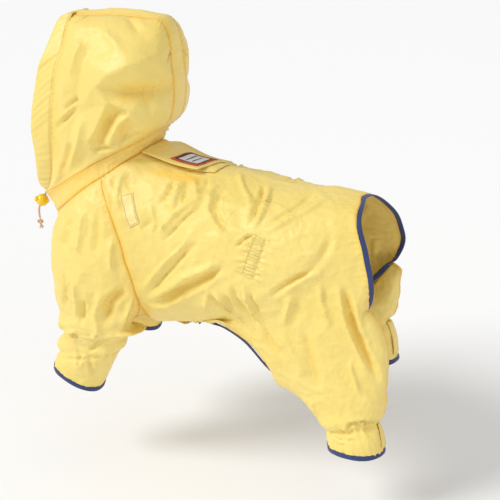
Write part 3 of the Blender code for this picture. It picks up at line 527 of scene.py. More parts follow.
@dataclass(frozen=True)
class BodyPattern:
    """The back with both thighs' outer cloth, and the inner half of each hind leg."""

    neck: Loop
    stance: Stance
    sleeves: SleevePattern
    columns: int = 22
    inner_columns: int = 10
    # Sections of the trunk: x, top z, bottom z, half width, with the power of their roundness.
    trunk: Table = (
        (-118, 27, -192, 78), (-60, 9, -192, 91), (0, 1.4, -184, 92), (60, -8, -182, 89),
        (100, -9, -180, 83), (143, -13, -172, 64), (175, -30, -165, 58),
    )  # fmt: skip
    roundness: float = 2.2
    rear_edge: Table = (
        (135, 0, -12), (137, -16, -13), (140, -35, -19), (145, -49, -33),
        (152, -57, -54), (160, -61, -80), (165, -62, -104), (166, -62, -122),
    )  # fmt: skip
    belly_seam: Table = (
        (-112, -79, -152), (-109, -60, -176), (-104, -36, -189.5), (-97, -16, -194),
    )  # fmt: skip
    open_edge: Table = (
        (-97, -16, -194), (-80, -27, -191), (-55, -42, -180), (-26, -54, -170),
        (4, -60, -180), (33, -62, -197), (49, -61, -217), (57, -54, -238),
    )  # fmt: skip
    # Hind leg, top to hem: front x, y, z, rear x, y, z, outer depth, inner depth.
    hind: Table = (
        (57, -54, -238, 166, -62, -122, 33, 0),
        (72, -51, -247, 186, -60, -146, 32, 12),
        (92, -53, -259, 191, -60, -184, 29, 19),
        (108, -55, -270, 189, -60, -222, 26, 22),
        (117, -56, -278, 184, -60, -250, 23, 21),
        (120, -56, -282, 182, -60, -261, 21, 19),
        (119, -56, -289, 187, -60, -274, 25, 23),
        (122, -56, -304, 190, -60, -299, 27, 25),
    )
    inner_edge: Table = (
        (57, -54, -238), (93, -48, -238), (132, -46, -220), (156, -51, -184), (166, -62, -122),
    )  # fmt: skip
    # Steps down the front edge along the neck, the belly's seam and the open edge.
    neck_steps: int = 4
    belly_steps: int = 4
    open_steps: int = 8
    # Places of a row's points, how the rows crowd at the rear edge's top, and the share of the
    # rows after which the trunk's round turns into the thigh's.
    spread: Row = (0, 0.2, 0.4, 0.6, 0.78, 0.9, 1.0)
    rear_pace: float = 1.35
    thigh_from: float = 0.55
    # Shares of the inner edge's sag in the inner half's first rows.
    inner_sag: Row = (1.0, 0.72, 0.42, 0.15)
    # Where the back is evened out: rows above and below the leg's top, and clear of the edges.
    relax_rows: tuple[int, int] = (11, 5)
    relax_clear: float = 12.0
    relax_rounds: int = 60

    def on_trunk(self, x: float, degrees: float) -> tuple[float, float, float]:
        """A point of the trunk: 0 degrees on the spine, 90 at the left side, 180 underneath."""
        table = np.array(self.trunk)
        top, bottom, width = through(table[:, 0], table[:, 1:], [x])[0]
        angle, power = np.radians(degrees), 2 / self.roundness
        up = np.sign(np.cos(angle)) * abs(np.cos(angle)) ** power
        y = -width * abs(np.sin(angle)) ** power
        return (x, y, (top + bottom) / 2 + up * (top - bottom) / 2)

    def trunk_angle(self, point: np.ndarray) -> float:
        """The angle at which a trunk point of this x comes nearest to the point."""
        degrees = np.linspace(0, 180, 181)
        x = min(max(point[0], self.trunk[0][0]), self.trunk[-1][0])
        ring = np.array([self.on_trunk(x, angle) for angle in degrees])
        return float(degrees[np.linalg.norm((ring - np.asarray(point))[:, 1:], axis=1).argmin()])

    def sections(self, side: Side) -> np.ndarray:
        """Rows of points from the front edge to the rear one, from the spine to this side's hem."""
        neck_end = self.neck.angle_of(self.sleeves.raglan_rear[0])
        angles = np.linspace(180, neck_end, self.neck_steps + 1)[:-1]
        front = [self.neck.at(angle) for angle in angles]
        front += list(self.stance.unposed(self.sleeves.raglan(side), side))
        front += list(along(self.belly_seam, np.linspace(0, 1, self.belly_steps + 1)[1:]))
        front += list(along(self.open_edge, np.linspace(0, 1, self.open_steps + 1)[1:]))
        count = len(front)
        rear = along(self.rear_edge, 1 - (1 - np.linspace(0, 1, count)) ** self.rear_pace)
        made = []
        for i, (start, end) in enumerate(zip(front, rear)):
            first, last = self.trunk_angle(start), self.trunk_angle(end)
            points = [start]
            for s in self.spread[1:-1]:
                x = start[0] + (end[0] - start[0]) * s
                points.append(np.array(self.on_trunk(x, first + (last - first) * s)))
            points = np.array([*points, end])
            ring = along(half_ring(start, end, self.hind[0][6]), self.spread)
            share = smooth((i / (count - 1) - self.thigh_from) / (1 - self.thigh_from))
            made.append((1 - share) * points + share * ring)
        for row in self.hind[1:]:
            made.append(along(half_ring(row[:3], row[3:6], row[6]), self.spread))
        return np.array(made)

    def rows(self) -> tuple[np.ndarray, int]:
        """Row places of the back, and the one at the hind leg's top."""
        first = self.neck_steps + len(self.sleeves.raglan(Side.LEFT))
        first += self.belly_steps + self.open_steps - 1
        lower = np.linspace(first, first + len(self.hind) - 1, 10)
        return np.concatenate([np.arange(0, first + 1), lower[1:]]), first

    def back(self, side: Side) -> np.ndarray:
        """Half of the back, from the spine to the hind hem."""
        rows, first = self.rows()
        places = np.linspace(0, 1, self.columns + 1)
        grid = self.relaxed(loft(self.sections(side), rows, places, self.spread), first)
        return self.stance.posed(grid, side)

    def relaxed(self, grid: np.ndarray, first: int) -> np.ndarray:
        """The half back evened out where the trunk runs into the hind leg, clear of its edges."""
        row = np.arange(len(grid))
        above, below = self.relax_rows
        share = smooth((row - first + above) / 6) * smooth((first + below - row) / 4)
        steps = np.arange(8)[:, None, None] / 8
        rims = [edge[:-1] + np.diff(edge, axis=0) * steps for edge in (grid[:, 0], grid[:, -1])]
        away = grid[:, :, None] - np.concatenate(rims, axis=1).reshape(-1, 3)
        away = np.linalg.norm(away, axis=3).min(axis=2)
        share = share[:, None] * smooth((away - self.relax_clear) / (2 * self.relax_clear))
        share = 0.5 * share[1:-1, 1:-1, None]
        grid = grid.copy()
        for _ in range(self.relax_rounds):
            grid[1:-1, 1:-1] += share * (neighbours(grid) - grid[1:-1, 1:-1])
        return grid

    def inner(self, side: Side, back: np.ndarray) -> np.ndarray:
        """The inner half of a hind leg, joined to its outer half."""
        rows, first = self.rows()
        spread = np.linspace(0, 1, 9)
        sections = [along(half_ring(r[:3], r[3:6], -r[7]), spread) for r in self.hind]
        sag = along(self.inner_edge, spread) - sections[0]
        for i, share in enumerate(self.inner_sag):
            sections[i] = sections[i] + sag * share
        places = np.linspace(0, 1, self.inner_columns + 1)
        grid = self.stance.posed(loft(sections, rows[rows >= first] - first, places, spread), side)
        share = places[None, :, None]
        grid += (1 - share) ** 2 * (back[first:, :1] - grid[:, :1])
        return grid + share**2 * (back[first:, -1:] - grid[:, -1:])


@dataclass(frozen=True)
class ChestPattern:
    """The chest between the sleeves' front seams, throat to belly."""

    body: BodyPattern
    middle: Table = (
        (-250, -70), (-255, -95), (-255, -124), (-248, -154), (-235, -176),
        (-214, -191), (-186, -198), (-150, -199), (-100, -196),
    )  # fmt: skip

    def grid(self) -> np.ndarray:
        """The chest panel, left to right and downwards."""
        body, sleeves = self.body, self.body.sleeves
        left, right = sleeves.chest_edge(Side.LEFT), sleeves.chest_edge(Side.RIGHT)
        centre = along([(x, 0, z) for x, z in self.middle], np.linspace(0, 1, len(left)))
        columns = np.linspace(0, 1, 2 * body.belly_steps + 3)
        rows = []
        for a, m, b in zip(left, centre, right):
            near, far = m + (a - m) * (0.3, 0.45, 0.3), m + (b - m) * (0.3, 0.45, 0.3)
            rows.append(through(np.linspace(0, 1, 5), np.array([a, near, m, far, b]), columns))
        end = body.neck.angle_of(sleeves.raglan_front[0])
        rows[0] = body.neck.at(np.linspace(end, -end, len(columns)))
        belly = along(body.belly_seam, np.linspace(0, 1, body.belly_steps + 1))
        rows[-1] = np.concatenate([belly, [centre[-1]], body.stance.posed(belly, Side.RIGHT)[::-1]])
        return np.array(rows)


@dataclass(frozen=True)
class HoodPattern:
    """The hood: two sides, the strip between them, and the casing round the face."""

    seam: Loop
    start: float = 24.0
    rows: int = 12
    columns: int = 12
    strip_half: float = 15.0
    # Rows from the seam up: face x, y, z, greatest half width, back x, z.
    sides: Table = (
        (-246, -41, -18, 66, -97, 59),
        (-235, -56, 12, 68, -91, 77),
        (-228, -64, 56, 70, -89, 101),
        (-224, -62, 94, 70, -90, 126),
        (-220, -55, 124, 64, -92, 147),
        (-217, -40, 151, 50, -96, 162),
        (-218, -27, 168, 33, -102, 172),
        (-219, -15, 176, 15, -109, 177),
    )
    strip: Table = (
        (-221, 180), (-189, 183), (-150, 183), (-118, 181), (-103, 177), (-94, 166),
        (-89, 147), (-88, 124), (-87, 101), (-90, 78), (-95, 60), (-106, 49),
    )  # fmt: skip
    face: Table = (
        (-270, -6, -46), (-269, -24, -37), (-264, -42, -12), (-259, -51, 10),
        (-257, -56, 36), (-255, -57, 67), (-251, -55, 97), (-246, -51, 122),
        (-240, -42, 142), (-237, -28, 159), (-237, -12, 169),
    )  # fmt: skip

    @property
    def low(self) -> float:
        """Degrees round the seam from the throat to the strip."""
        return 180 - float(np.degrees(np.arcsin(self.strip_half / self.seam.width)))

    def mirrored(self, points: np.ndarray, side: Side) -> np.ndarray:
        """Points of the left half on this side."""
        return points * np.array((1, -side.value, 1))

    def side(self, side: Side) -> np.ndarray:
        """One side of the hood, from its seam up to the strip."""
        sections = [self.seam.at(np.linspace(self.start, self.low, 9))]
        for x, y, z, width, back_x, back_z in self.sides:
            angle = np.linspace(0, np.pi / 2, 5)[1:]
            bow = np.array([y, *(-width * np.array((0.955, 1.0, 1.0, 1.0)))])
            round_y = -self.strip_half - (width - self.strip_half) * np.cos(angle) ** 0.8
            share = np.array([0, 0.12, 0.26, 0.4, 0.52, *(0.52 + 0.48 * np.sin(angle) ** 0.9)])
            ys, zs = np.array([*bow, *round_y]), z + (back_z - z) * share
            sections.append(np.stack([x + (back_x - x) * share, ys, zs], 1))
        places = np.linspace(0, len(sections) - 1, self.rows + 1)
        grid = loft(np.array(sections), places, np.linspace(0, 1, self.columns + 1))
        return self.mirrored(grid, side)

    def strip_edge(self, side: Side) -> np.ndarray:
        """The side's edge at the strip, from the face over the top and down the back."""
        grid = self.side(side)
        return np.concatenate([grid[-1], grid[::-1][1:, -1]])

    def strip_grid(self) -> np.ndarray:
        """The strip over the top and down the back."""
        left, right = self.strip_edge(Side.LEFT), self.strip_edge(Side.RIGHT)
        dense = along([(x, 0, z) for x, z in self.strip], np.linspace(0, 1, 400))
        away = np.linalg.norm((dense[None] - left[:, None])[..., [0, 2]], axis=2)
        centre = (left + right) / 8 + dense[away.argmin(1)] * 0.75
        centre[-1] = self.seam.at(180)
        return np.stack([left, centre, right], 1)

    def casing_edges(self) -> tuple[np.ndarray, np.ndarray]:
        """Front and rear edge of the casing, from the left throat round to the right one."""
        left, right = self.side(Side.LEFT)[:, 0], self.side(Side.RIGHT)[:, 0]
        rear = np.concatenate([left, right[::-1]])
        front = along(self.face, np.linspace(0, 1, len(left)))
        return np.concatenate([front, self.mirrored(front, Side.RIGHT)[::-1]]), rear

    def casing_grid(self) -> np.ndarray:
        """The casing's outer face."""
        front, rear = self.casing_edges()
        middle = (front + rear) / 2
        return np.stack([front, middle + unit(middle - np.array((-170, 0, 60))) * 1.2, rear], 1)


@dataclass(frozen=True)
class BandPattern:
    """The neck band between the coat and the hood."""

    neck: Loop
    hood: HoodPattern

    def grid(self) -> np.ndarray:
        """The band, lower edge first, closed from the left throat round to it again."""
        hood = self.hood
        left = np.linspace(hood.start, hood.low, hood.columns + 1)
        throat = np.array((-0.5, 0.0, 0.5)) * hood.start
        turns = np.concatenate([throat, left, [180], 360 - left[::-1], [360 + throat[0]]])
        lower = self.neck.at(turns)
        upper = [*hood.seam.at(throat), *hood.side(Side.LEFT)[0], hood.seam.at(180)]
        upper += [*hood.side(Side.RIGHT)[0][::-1], hood.seam.at(throat[0])]
        waist = (lower + upper) / 2
        return np.stack([lower, waist + unit(np.array((-186.0, 0, -10)) - waist) * 1.5, upper])


# --------------------------------------------------------------------------------------- folds


@dataclass(frozen=True)
class Fold:
    """A soft trough or ridge in the cloth, placed along a line."""

    path: Table
    start: float
    end: float
    depth: float

    def moved(self, shift: np.ndarray, stance: Stance, side: Side, share: float) -> "Fold":
        """The same fold on another side, shifted, with this share of its depth."""
        path = stance.posed(np.array(self.path, float) + shift, side)
        return Fold(tuple(map(tuple, path)), self.start, self.end, self.depth * share)

    def mirrored(self, shift: np.ndarray) -> "Fold":
        """The same fold on the hood's other side, shifted in millimetres."""
        path = np.array(self.path, float) * (1, -1, 1) + shift
        return Fold(tuple(map(tuple, path)), self.start, self.end, self.depth)


class FoldTables:
    """Folds: points of the line, width at its start and end, height above the cloth.

    Those of the first three tables lie on the left and, a little moved, on the right too. Those
    of the last are laid once, where the table has them.
    """

    BACK: tuple = (
        (((-73, -48, 0), (-77, -63, -12), (-83, -74, -27)), 2.5, 3.4, -3.4),
        (((-65, -48, -2), (-66, -66, -15), (-68, -75, -30)), 2.5, 3.4, 2.8),
        (((-59, -43, 0), (-55, -59, -11), (-56, -70, -23)), 2.5, 3, -3),
        (((-52, -41, 0), (-43, -56, -10), (-36, -67, -21)), 2.5, 3, 2.6),
        (((-38, -36, 0), (-35, -48, -6), (-39, -59, -14)), 2.2, 3, -2.4),
        (((2, -91, -78), (-48, -88, -108), (-102, -81, -147)), 5, 6, 4.2),
        (((7, -91, -81), (-28, -91, -109), (-96, -78, -149)), 4, 8, -5.2),
        (((-42, -90, -127), (-77, -79, -149), (-109, -74, -158)), 5, 5, 3),
        (((37, -79, -44), (26, -83, -50), (14, -88, -62)), 2.2, 2.6, -3.4),
        (((-103, -88, -130), (-72, -89, -94), (-42, -88, -59), (-33, -83, -42)), 3, 3, 2.8),
        (((-95, -85, -133), (-58, -90, -94), (-32, -89, -62), (-21, -86, -54)), 2.5, 4, -3),
        (((-86, -88, -62), (-63, -76, -35), (-42, -64, -19), (-27, -53, -10)), 3, 3, 2.8),
        (((-78, -87, -69), (-54, -79, -43), (-34, -69, -23), (-26, -59, -15)), 2.5, 3, -2.6),
        (
            ((-24, -38, -3), (-26, -59, -15), (-22, -72, -26), (-10, -78, -38), (10, -84, -50)),
            3, 3, 3,
        ),
        (
            ((-13, -45, -7), (-16, -62, -18), (-12, -71, -27), (-1, -77, -37), (14, -80, -44)),
            3, 3, -2.8,
        ),
        (((-11, -4, 2), (6, -35, -6), (21, -51, -15), (26, -70, -31)), 3, 4, 2.4),
        (((33, -16, -5), (39, -45, -14), (39, -65, -28), (34, -79, -43)), 2.5, 2, 3.4),
        (((25, -14, -4), (31, -44, -13), (31, -65, -27), (26, -78, -41)), 3, 2.5, -3.2),
        (((47, -78, -44), (69, -63, -30), (92, -43, -19), (103, -16, -10)), 3, 4, 1.8),
        (((47, -71, -35), (62, -58, -25), (78, -40, -16), (85, -16, -10)), 2.5, 3, -2),
        (((120, -54, -32), (118, -68, -52), (105, -80, -77), (78, -88, -93)), 5, 6, -1.8),
        (((4, -89, -114), (9, -80, -138), (16, -70, -166)), 3, 3, -2.4),
        (((29, -91, -99), (37, -87, -120), (45, -79, -143)), 3, 4, -2),
        (((-15, -93, -115), (-22, -81, -137), (-28, -70, -156)), 3, 3, 2),
        (((108, -80, -79), (90, -86, -88), (55, -86, -116)), 2.6, 5, -3),
        (((85, -86, -105), (78, -79, -132), (76, -88, -151)), 6, 6, 3.2),
        (((113, -79, -90), (119, -84, -119), (133, -91, -144)), 3, 5, 2.8),
        (((131, -72, -94), (150, -83, -138), (179, -79, -199)), 4, 4, 4.6),
        (((135, -69, -91), (157, -82, -140), (185, -75, -207)), 5, 6, -5.8),
        (((152, -86, -178), (158, -86, -197), (167, -83, -220)), 2.5, 3, 2.2),
        (((-18, -92, -118), (-3, -82, -136), (12, -74, -165)), 4, 6, -3),
        (((-9, -93, -111), (7, -81, -139), (23, -78, -165)), 4, 5, 3),
        (((14, -91, -102), (21, -84, -133), (44, -84, -159)), 4, 6, -3.6),
        (((30, -91, -99), (35, -82, -135), (51, -86, -161)), 4, 5, 3),
        (((-150, -61, 1), (-149, -73, -15), (-139, -85, -39)), 3, 4, 2.4),
        (((-153, -68, -8), (-146, -77, -22), (-138, -84, -37)), 3, 4, -2.4),
        (((-139, -57, 5), (-138, -72, -16), (-130, -83, -38)), 3, 4, 2.4),
        (((-134, -55, 6), (-131, -60, -3), (-125, -68, -14)), 3, 4, -2.2),
        (((-103, -86, -51), (-94, -83, -46), (-87, -80, -40)), 3, 4, -2),
        (((-96, -71, -24), (-87, -82, -44), (-88, -88, -65)), 3, 3, 1.6),
        (((106, -77, -240), (110, -75, -252), (116, -72, -264)), 3, 4, 2.2),
        (((150, -80, -268), (155, -82, -258), (160, -81, -256), (168, -79, -267)), 2, 2.4, -3.4),
        (((157, -82, -255), (168, -79, -253), (182, -62, -256)), 1.8, 2, -3),
        (((129, -74, -281), (147, -80, -281), (168, -78, -275)), 1.6, 1.6, -1.8),
        (((131, -75, -287), (146, -82, -287), (158, -82, -281)), 1.6, 1.6, -1.4),
        (((43, -84, -158), (59, -86, -179), (77, -87, -196)), 6, 9, -3),
        (((65, -87, -153), (85, -92, -180), (101, -83, -214)), 6, 8, 3),
        (((97, -93, -145), (105, -95, -180), (119, -84, -223)), 7, 8, -2.6),
        (((188, -60, -222), (186, -60, -245), (182, -60, -262)), 8, 8, 2.4),
    )
    SLEEVE: tuple = (
        (((-192, -85, -49), (-196, -92, -67), (-200, -94, -90)), 6, 8, -2.2),
        (((-175, -85, -37), (-176, -95, -64), (-181, -100, -93)), 6, 7, 2.4),
        (((-118, -93, -122), (-137, -97, -145), (-154, -92, -187)), 6, 8, -5.4),
        (((-112, -88, -133), (-124, -85, -159), (-137, -86, -185)), 5, 6, 3.4),
        (((-145, -101, -130), (-156, -97, -156), (-168, -93, -184)), 6, 7, 2.6),
        (
            ((-220, -79, -215), (-208, -84, -207), (-195, -91, -200), (-196, -88, -211)),
            2, 2.2, -3.2,
        ),
        (((-219, -82, -208), (-206, -88, -199), (-190, -92, -193)), 4, 4, 2.4),
        (((-181, -83, -222), (-160, -87, -209), (-148, -89, -199)), 2.4, 3.6, -3),
        (((-170, -86, -204), (-160, -90, -190), (-163, -93, -170)), 5, 5, 2.6),
        (((-118, -87, -144), (-124, -85, -159), (-141, -78, -196)), 5, 4, 2.6),
        (((-186, -85, -228), (-188, -86, -238), (-191, -86, -250)), 3, 3.5, 1.6),
        (((-180, -85, -229), (-178, -85, -240), (-177, -79, -261)), 2.2, 2.6, -1.8),
        (((-155, -89, -41), (-154, -98, -70), (-153, -100, -96)), 5, 7, -2.2),
        (((-136, -93, -64), (-136, -99, -87), (-134, -99, -112)), 5, 6, 2),
        (((-204, -95, -115), (-199, -97, -140), (-208, -89, -173)), 4, 6, -2),
        (((-185, -100, -124), (-184, -99, -150), (-193, -93, -182)), 5, 6, 2.2),
        (((-173, -99, -148), (-179, -92, -170), (-182, -93, -188)), 4, 5, -2.4),
        (((-141, -84, -214), (-146, -82, -232), (-152, -78, -248)), 5, 5, -2),
    )
    HOOD: tuple = (
        (((-173, -68, 31), (-156, -65, 31), (-135, -61, 39)), 3, 4, -2.4),
        (((-119, -35, 41), (-113, -22, 44), (-109, -12, 46)), 2, 2.4, -1.4),
        (((-125, -38, 34), (-117, -25, 38), (-112, -14, 42)), 2.2, 2.4, 1.4),
        (((-134, -45, 25), (-121, -29, 32), (-116, -16, 36)), 1.8, 2.2, -1.4),
        (((-160, -62, 6), (-143, -54, 20), (-124, -38, 32)), 2.4, 2.6, 1.2),
        (((-93, -14, 140), (-90, -20, 136), (-90, -30, 128)), 2, 3, -3.2),
        (((-182, -70, 90), (-194, -70, 80), (-207, -67, 69)), 3, 4, -2.2),
        (((-189, -70, 75), (-206, -68, 61), (-223, -64, 46)), 3, 5, -2.4),
        (((-184, -70, 84), (-199, -69, 72), (-215, -66, 59)), 3, 4, 2),
        (((-176, -70, 74), (-186, -69, 36), (-203, -65, 3)), 7, 9, 3),
        (((-193, -69, 39), (-206, -67, 16), (-219, -63, -9)), 5, 6, -2.6),
        (((-160, -43, 162), (-141, -54, 151), (-128, -60, 140)), 6, 8, 1.8),
        (((-145, -16, 177), (-130, -30, 171), (-116, -41, 162)), 5, 7, -1.8),
        (((-197, -14, 177), (-199, -25, 172), (-207, -32, 167)), 3, 4, -2),
        (((-184, -51, 153), (-189, -62, 132), (-195, -68, 107)), 8, 9, 2),
    )
    SINGLE: tuple = (
        (((-115, 26, 12), (-40, 30, 1), (30, 30, -7), (100, 28, -13)), 16, 16, -3.2),
        (((-234, -66, -70), (-230, -76, -110), (-223, -82, -160)), 12, 12, -1.8),
        (((-222, -77, -176), (-219, -82, -190), (-226, -72, -214)), 8, 8, 2.0),
        (((-86, -48, -182), (-55, -44, -183), (-22, -54, -174)), 10, 10, -2.4),
        (((-250, -26, -80), (-254, -8, -96), (-253, 16, -104)), 6, 8, -3),
        (((-250, 28, -92), (-254, 6, -112), (-252, -20, -124)), 6, 8, 2.6),
        (((-246, -24, -140), (-247, 4, -150), (-243, 22, -146)), 6, 7, -2.6),
        (((-226, -22, -180), (-205, 0, -194), (-180, 18, -197)), 6, 8, 2.4),
        (((-160, -20, -197), (-138, 4, -198), (-118, 22, -196)), 6, 8, -2.4),
    )


class FoldField:
    """Every fold of the coat at once, as a movement of the points near them."""

    # Points along each fold, factors on the tables' depths and widths, and the shares of its
    # length over which a fold begins and ends.
    samples: int = 26
    gain: float = 1.6
    breadth: float = 0.75
    fades: tuple[float, float] = (0.24, 0.32)
    # How far a fold reaches across, in widths, and off the cloth, in millimetres.
    reach: float = 3.4
    above: float = 24.0
    # How steep its two flanks are, and where the swell beside it is, in widths.
    flanks: tuple[float, float] = (0.82, 1.25)
    swell: float = 1.9
    # Of a trough and of a ridge: the power of its flanks, and the height of that swell.
    power: tuple[float, float] = (1.2, 1.3)
    dip: tuple[float, float] = (0.24, 0.16)

    def __init__(self, surface: BVHTree) -> None:
        """Starts an empty field on the smooth cloth that the folds lie on."""
        self.surface = surface
        self.lines: list[tuple[np.ndarray, ...]] = []

    def add(self, fold: Fold) -> None:
        """Lays a fold on the cloth."""
        share = np.linspace(0, 1, self.samples)
        line, normal = [], []
        for point in along(fold.path, share):
            place, way, _, _ = self.surface.find_nearest(Vector(point))
            line.append(place)
            normal.append(way)
        line, normal = np.array(line), unit(np.array(normal))
        for _ in range(3):
            normal[1:-1] = unit(normal[:-2] + 2 * normal[1:-1] + normal[2:])
            line[1:-1] = (line[:-2] + 2 * line[1:-1] + line[2:]) / 4
        tangent = unit(np.gradient(line, axis=0))
        width = self.breadth * (fold.start + (fold.end - fold.start) * share)
        fade = smooth(share / self.fades[0]) * smooth((1 - share) / self.fades[1])
        self.lines.append(
            (line, tangent, np.cross(tangent, normal), normal, width, fold.depth * fade)
        )

    def move(self, points: np.ndarray) -> np.ndarray:
        """A row of points, moved by all the folds near them."""
        total = np.zeros_like(points)
        for line, tangent, across, normal, width, depth in self.lines:
            near = close_by(points, line, self.reach * width.max())
            if not len(near):
                continue
            k, away, _ = nearest(points[near], line)
            pitch = np.linalg.norm(line[1] - line[0])
            place = k + (away * tangent[k]).sum(1) / pitch
            beyond = np.maximum(0, np.maximum(-place, place - len(line) + 1)) * pitch
            place = np.clip(place, 0, len(line) - 1)
            ticks = np.arange(len(line))
            size = np.interp(place, ticks, width)
            s = (away * across[k]).sum(1) / size
            height = (away * normal[k]).sum(1)
            amount = np.interp(place, ticks, depth)
            trough = amount < 0
            power, dip = np.where(trough, *self.power), np.where(trough, *self.dip)
            shape = np.exp(-(abs(s * np.where(s > 0, *self.flanks)) ** power))
            shape -= dip * np.exp(-(((abs(s) - self.swell) / 0.8) ** 2))
            shape *= np.exp(-((beyond / size) ** 2)) * np.exp(-((height / self.above) ** 4))
            total[near] += normal[k] * (self.gain * amount * shape)[:, None]
        return points + total


@dataclass(frozen=True)
class Facets:
    """Flat planes of stretched cloth that meet in crisp creases, on one side of the hood."""

    # Places in the side view: x, z, height above the smooth cloth.
    points: Table = (
        (-262, -45, 0), (-246, -18, 0), (-235, 12, 0), (-228, 56, 0), (-224, 94, 0),
        (-220, 124, 0), (-217, 151, 0), (-219, 178, 0), (-165, 186, 0), (-108, 178, 0),
        (-91, 148, 0), (-84, 101, 0), (-96, 58, 0), (-107, 48, 0), (-145, 26, 0),
        (-190, -2, 0), (-225, -22, 0),
        (-156, 106, 5.5), (-141, 119, 8.5), (-119, 131, 8), (-100, 139, 3.5),
        (-147, 102, 0.5), (-128, 99, -7), (-103, 99, -8.5), (-92, 103, -3),
        (-145, 88, 4.5), (-122, 79, 4), (-103, 71, 1.5),
        (-158, 58, 5), (-171, 42, 4), (-183, 20, 0.5),
        (-137, 76, -3.5), (-150, 60, -5.5), (-158, 42, -4), (-165, 24, 0),
        (-123, 74, 3.5), (-136, 60, 4), (-146, 42, 3.5), (-150, 29, 0),
        (-130, 62, -3), (-133, 45, -5), (-135, 34, 0),
        (-112, 58, 1.5), (-176, 133, -1.5), (-193, 142, 1), (-168, 118, 1.5), (-183, 108, -1),
        (-135, 151, 2), (-116, 160, -1), (-168, 164, 1.5), (-205, 100, 1.5), (-210, 60, 0.5),
        (-190, 70, -1), (-196, 40, 1.5), (-215, 20, -1),
    )  # fmt: skip
    # Creases, as runs of those places.
    creases: tuple = (
        (17, 18, 19, 20, 10), (17, 21, 22, 23, 24, 11), (17, 25, 26, 27, 12), (25, 28, 29, 30),
        (25, 31, 32, 33, 34), (26, 35, 36, 37, 38), (35, 39, 40, 41), (17, 45, 43, 44, 6),
        (18, 47, 49), (0, 1, 2, 3, 4, 5, 6, 7, 8, 9, 10, 11, 12, 13, 14, 15, 16, 0),
    )  # fmt: skip
    # How far the creases are softened, and where the planes begin beside the middle and how soon.
    soft: float = 1.1
    middle: float = 14.0
    grows: float = 10.0

    def tree(self) -> BVHTree:
        """The planes, with their heights, as a tree to look up from above."""
        edges = [pair for run in self.creases for pair in zip(run, run[1:])]
        flat = [Vector(point[:2]) for point in self.points]
        made = geometry.delaunay_2d_cdt(flat, edges, [], 0, 1e-4)
        height = [self.points[same[0]][2] if same else 0.0 for same in made[3]]
        return BVHTree.FromPolygons([(*v, h) for v, h in zip(made[0], height)], made[2])

    def heights(self, x: np.ndarray, z: np.ndarray) -> np.ndarray:
        """Heights of the cloth at places of the side view."""
        tree, total = self.tree(), np.zeros(len(x))
        shifts = [(self.soft * np.cos(t), self.soft * np.sin(t)) for t in (0.3, 2.4, 4.5)]
        for dx, dz in shifts:
            for i, place in enumerate(zip(x + dx, z + dz)):
                hit = tree.ray_cast((*place, 100.0), (0, 0, -1))[0]
                total[i] += hit[2] if hit else 0.0
        return total / len(shifts)

    def move(self, points: np.ndarray, surface: BVHTree, side: Side, gain: float) -> np.ndarray:
        """A row of points, moved by the planes of this side.

        Args:
            points: Points in millimetres.
            surface: The smooth cloth.
            side: The side of the hood.
            gain: Factor on the heights.

        Returns:
            The moved points.
        """
        points = points.copy()
        places, drawn = points[:, [0, 2]], np.array(self.points)[:, :2]
        inside = (places > drawn.min(0)) & (places < drawn.max(0))
        near = np.flatnonzero(inside.all(1) & (points[:, 1] * side.value > self.middle))
        if len(near):
            x, y, z = points[near].T
            size = gain * self.heights(x, z) * smooth((abs(y) - self.middle) / self.grows)
            way = np.array([surface.find_nearest(Vector(point))[1] for point in points[near]])
            points[near] += way * size[:, None]
        return points


@dataclass(frozen=True)
class HemGathers:
    """Elastic above a hem: the cloth is drawn in, pleated, and hangs over above it."""

    front: Row
    rear: Row
    phase: float
    # In millimetres: how far the elastic draws in, how far the cloth swells and hangs above it,
    # the height of the pleats, half the leg's width and the height of the whole zone.
    tuck: float = 2.2
    blouse: float = 1.8
    hang: float = 1.6
    pleat: float = 1.3
    depth: float = 28.0
    zone: float = 46.0
    # Pleats round the leg, in each of three waves.
    turns: tuple[int, ...] = (9, 14, 21)

    def move(self, points: np.ndarray) -> np.ndarray:
        """A row of points, moved by the gathers."""
        front, rear = np.array(self.front, float), np.array(self.rear, float)
        centre, reach = (front + rear) / 2, np.linalg.norm(rear - front)
        way = unit(rear - front)
        axis = np.cross(way, (0, 1, 0))
        axis = axis / np.linalg.norm(axis) * np.sign(axis[2])
        away = points - centre
        height = away @ axis
        away = away - height[:, None] * axis
        out = away / np.maximum(np.linalg.norm(away, axis=1), 1e-6)[:, None]
        turn = np.arctan2(out @ np.cross(axis, way), out @ way)
        oval = np.hypot(away @ way / (reach / 2), away[:, 1] / self.depth)
        near = np.exp(-((oval / 1.35) ** 12)) * np.exp(-((height / self.zone) ** 6))
        pleat = sum(
            np.sin(count * turn + self.phase + 1.7 * count + 0.5 * np.sin(2 * turn + count))
            / (1 + i / 2)
            for i, count in enumerate(self.turns)
        )
        slack = 1 + 0.35 * np.sin(2 * turn + self.phase)
        size = -self.tuck * np.exp(-((height / 3.0) ** 2))
        size += self.blouse * slack * np.exp(-(((height - 12) / 7.5) ** 2))
        size += self.pleat * pleat * np.exp(-abs(height) / 10) * np.exp(-((height / 30) ** 4))
        hang = self.hang * slack * np.exp(-(((height - 8) / 5) ** 2))
        return points + (out * size[:, None] - axis * hang[:, None]) * near[:, None]


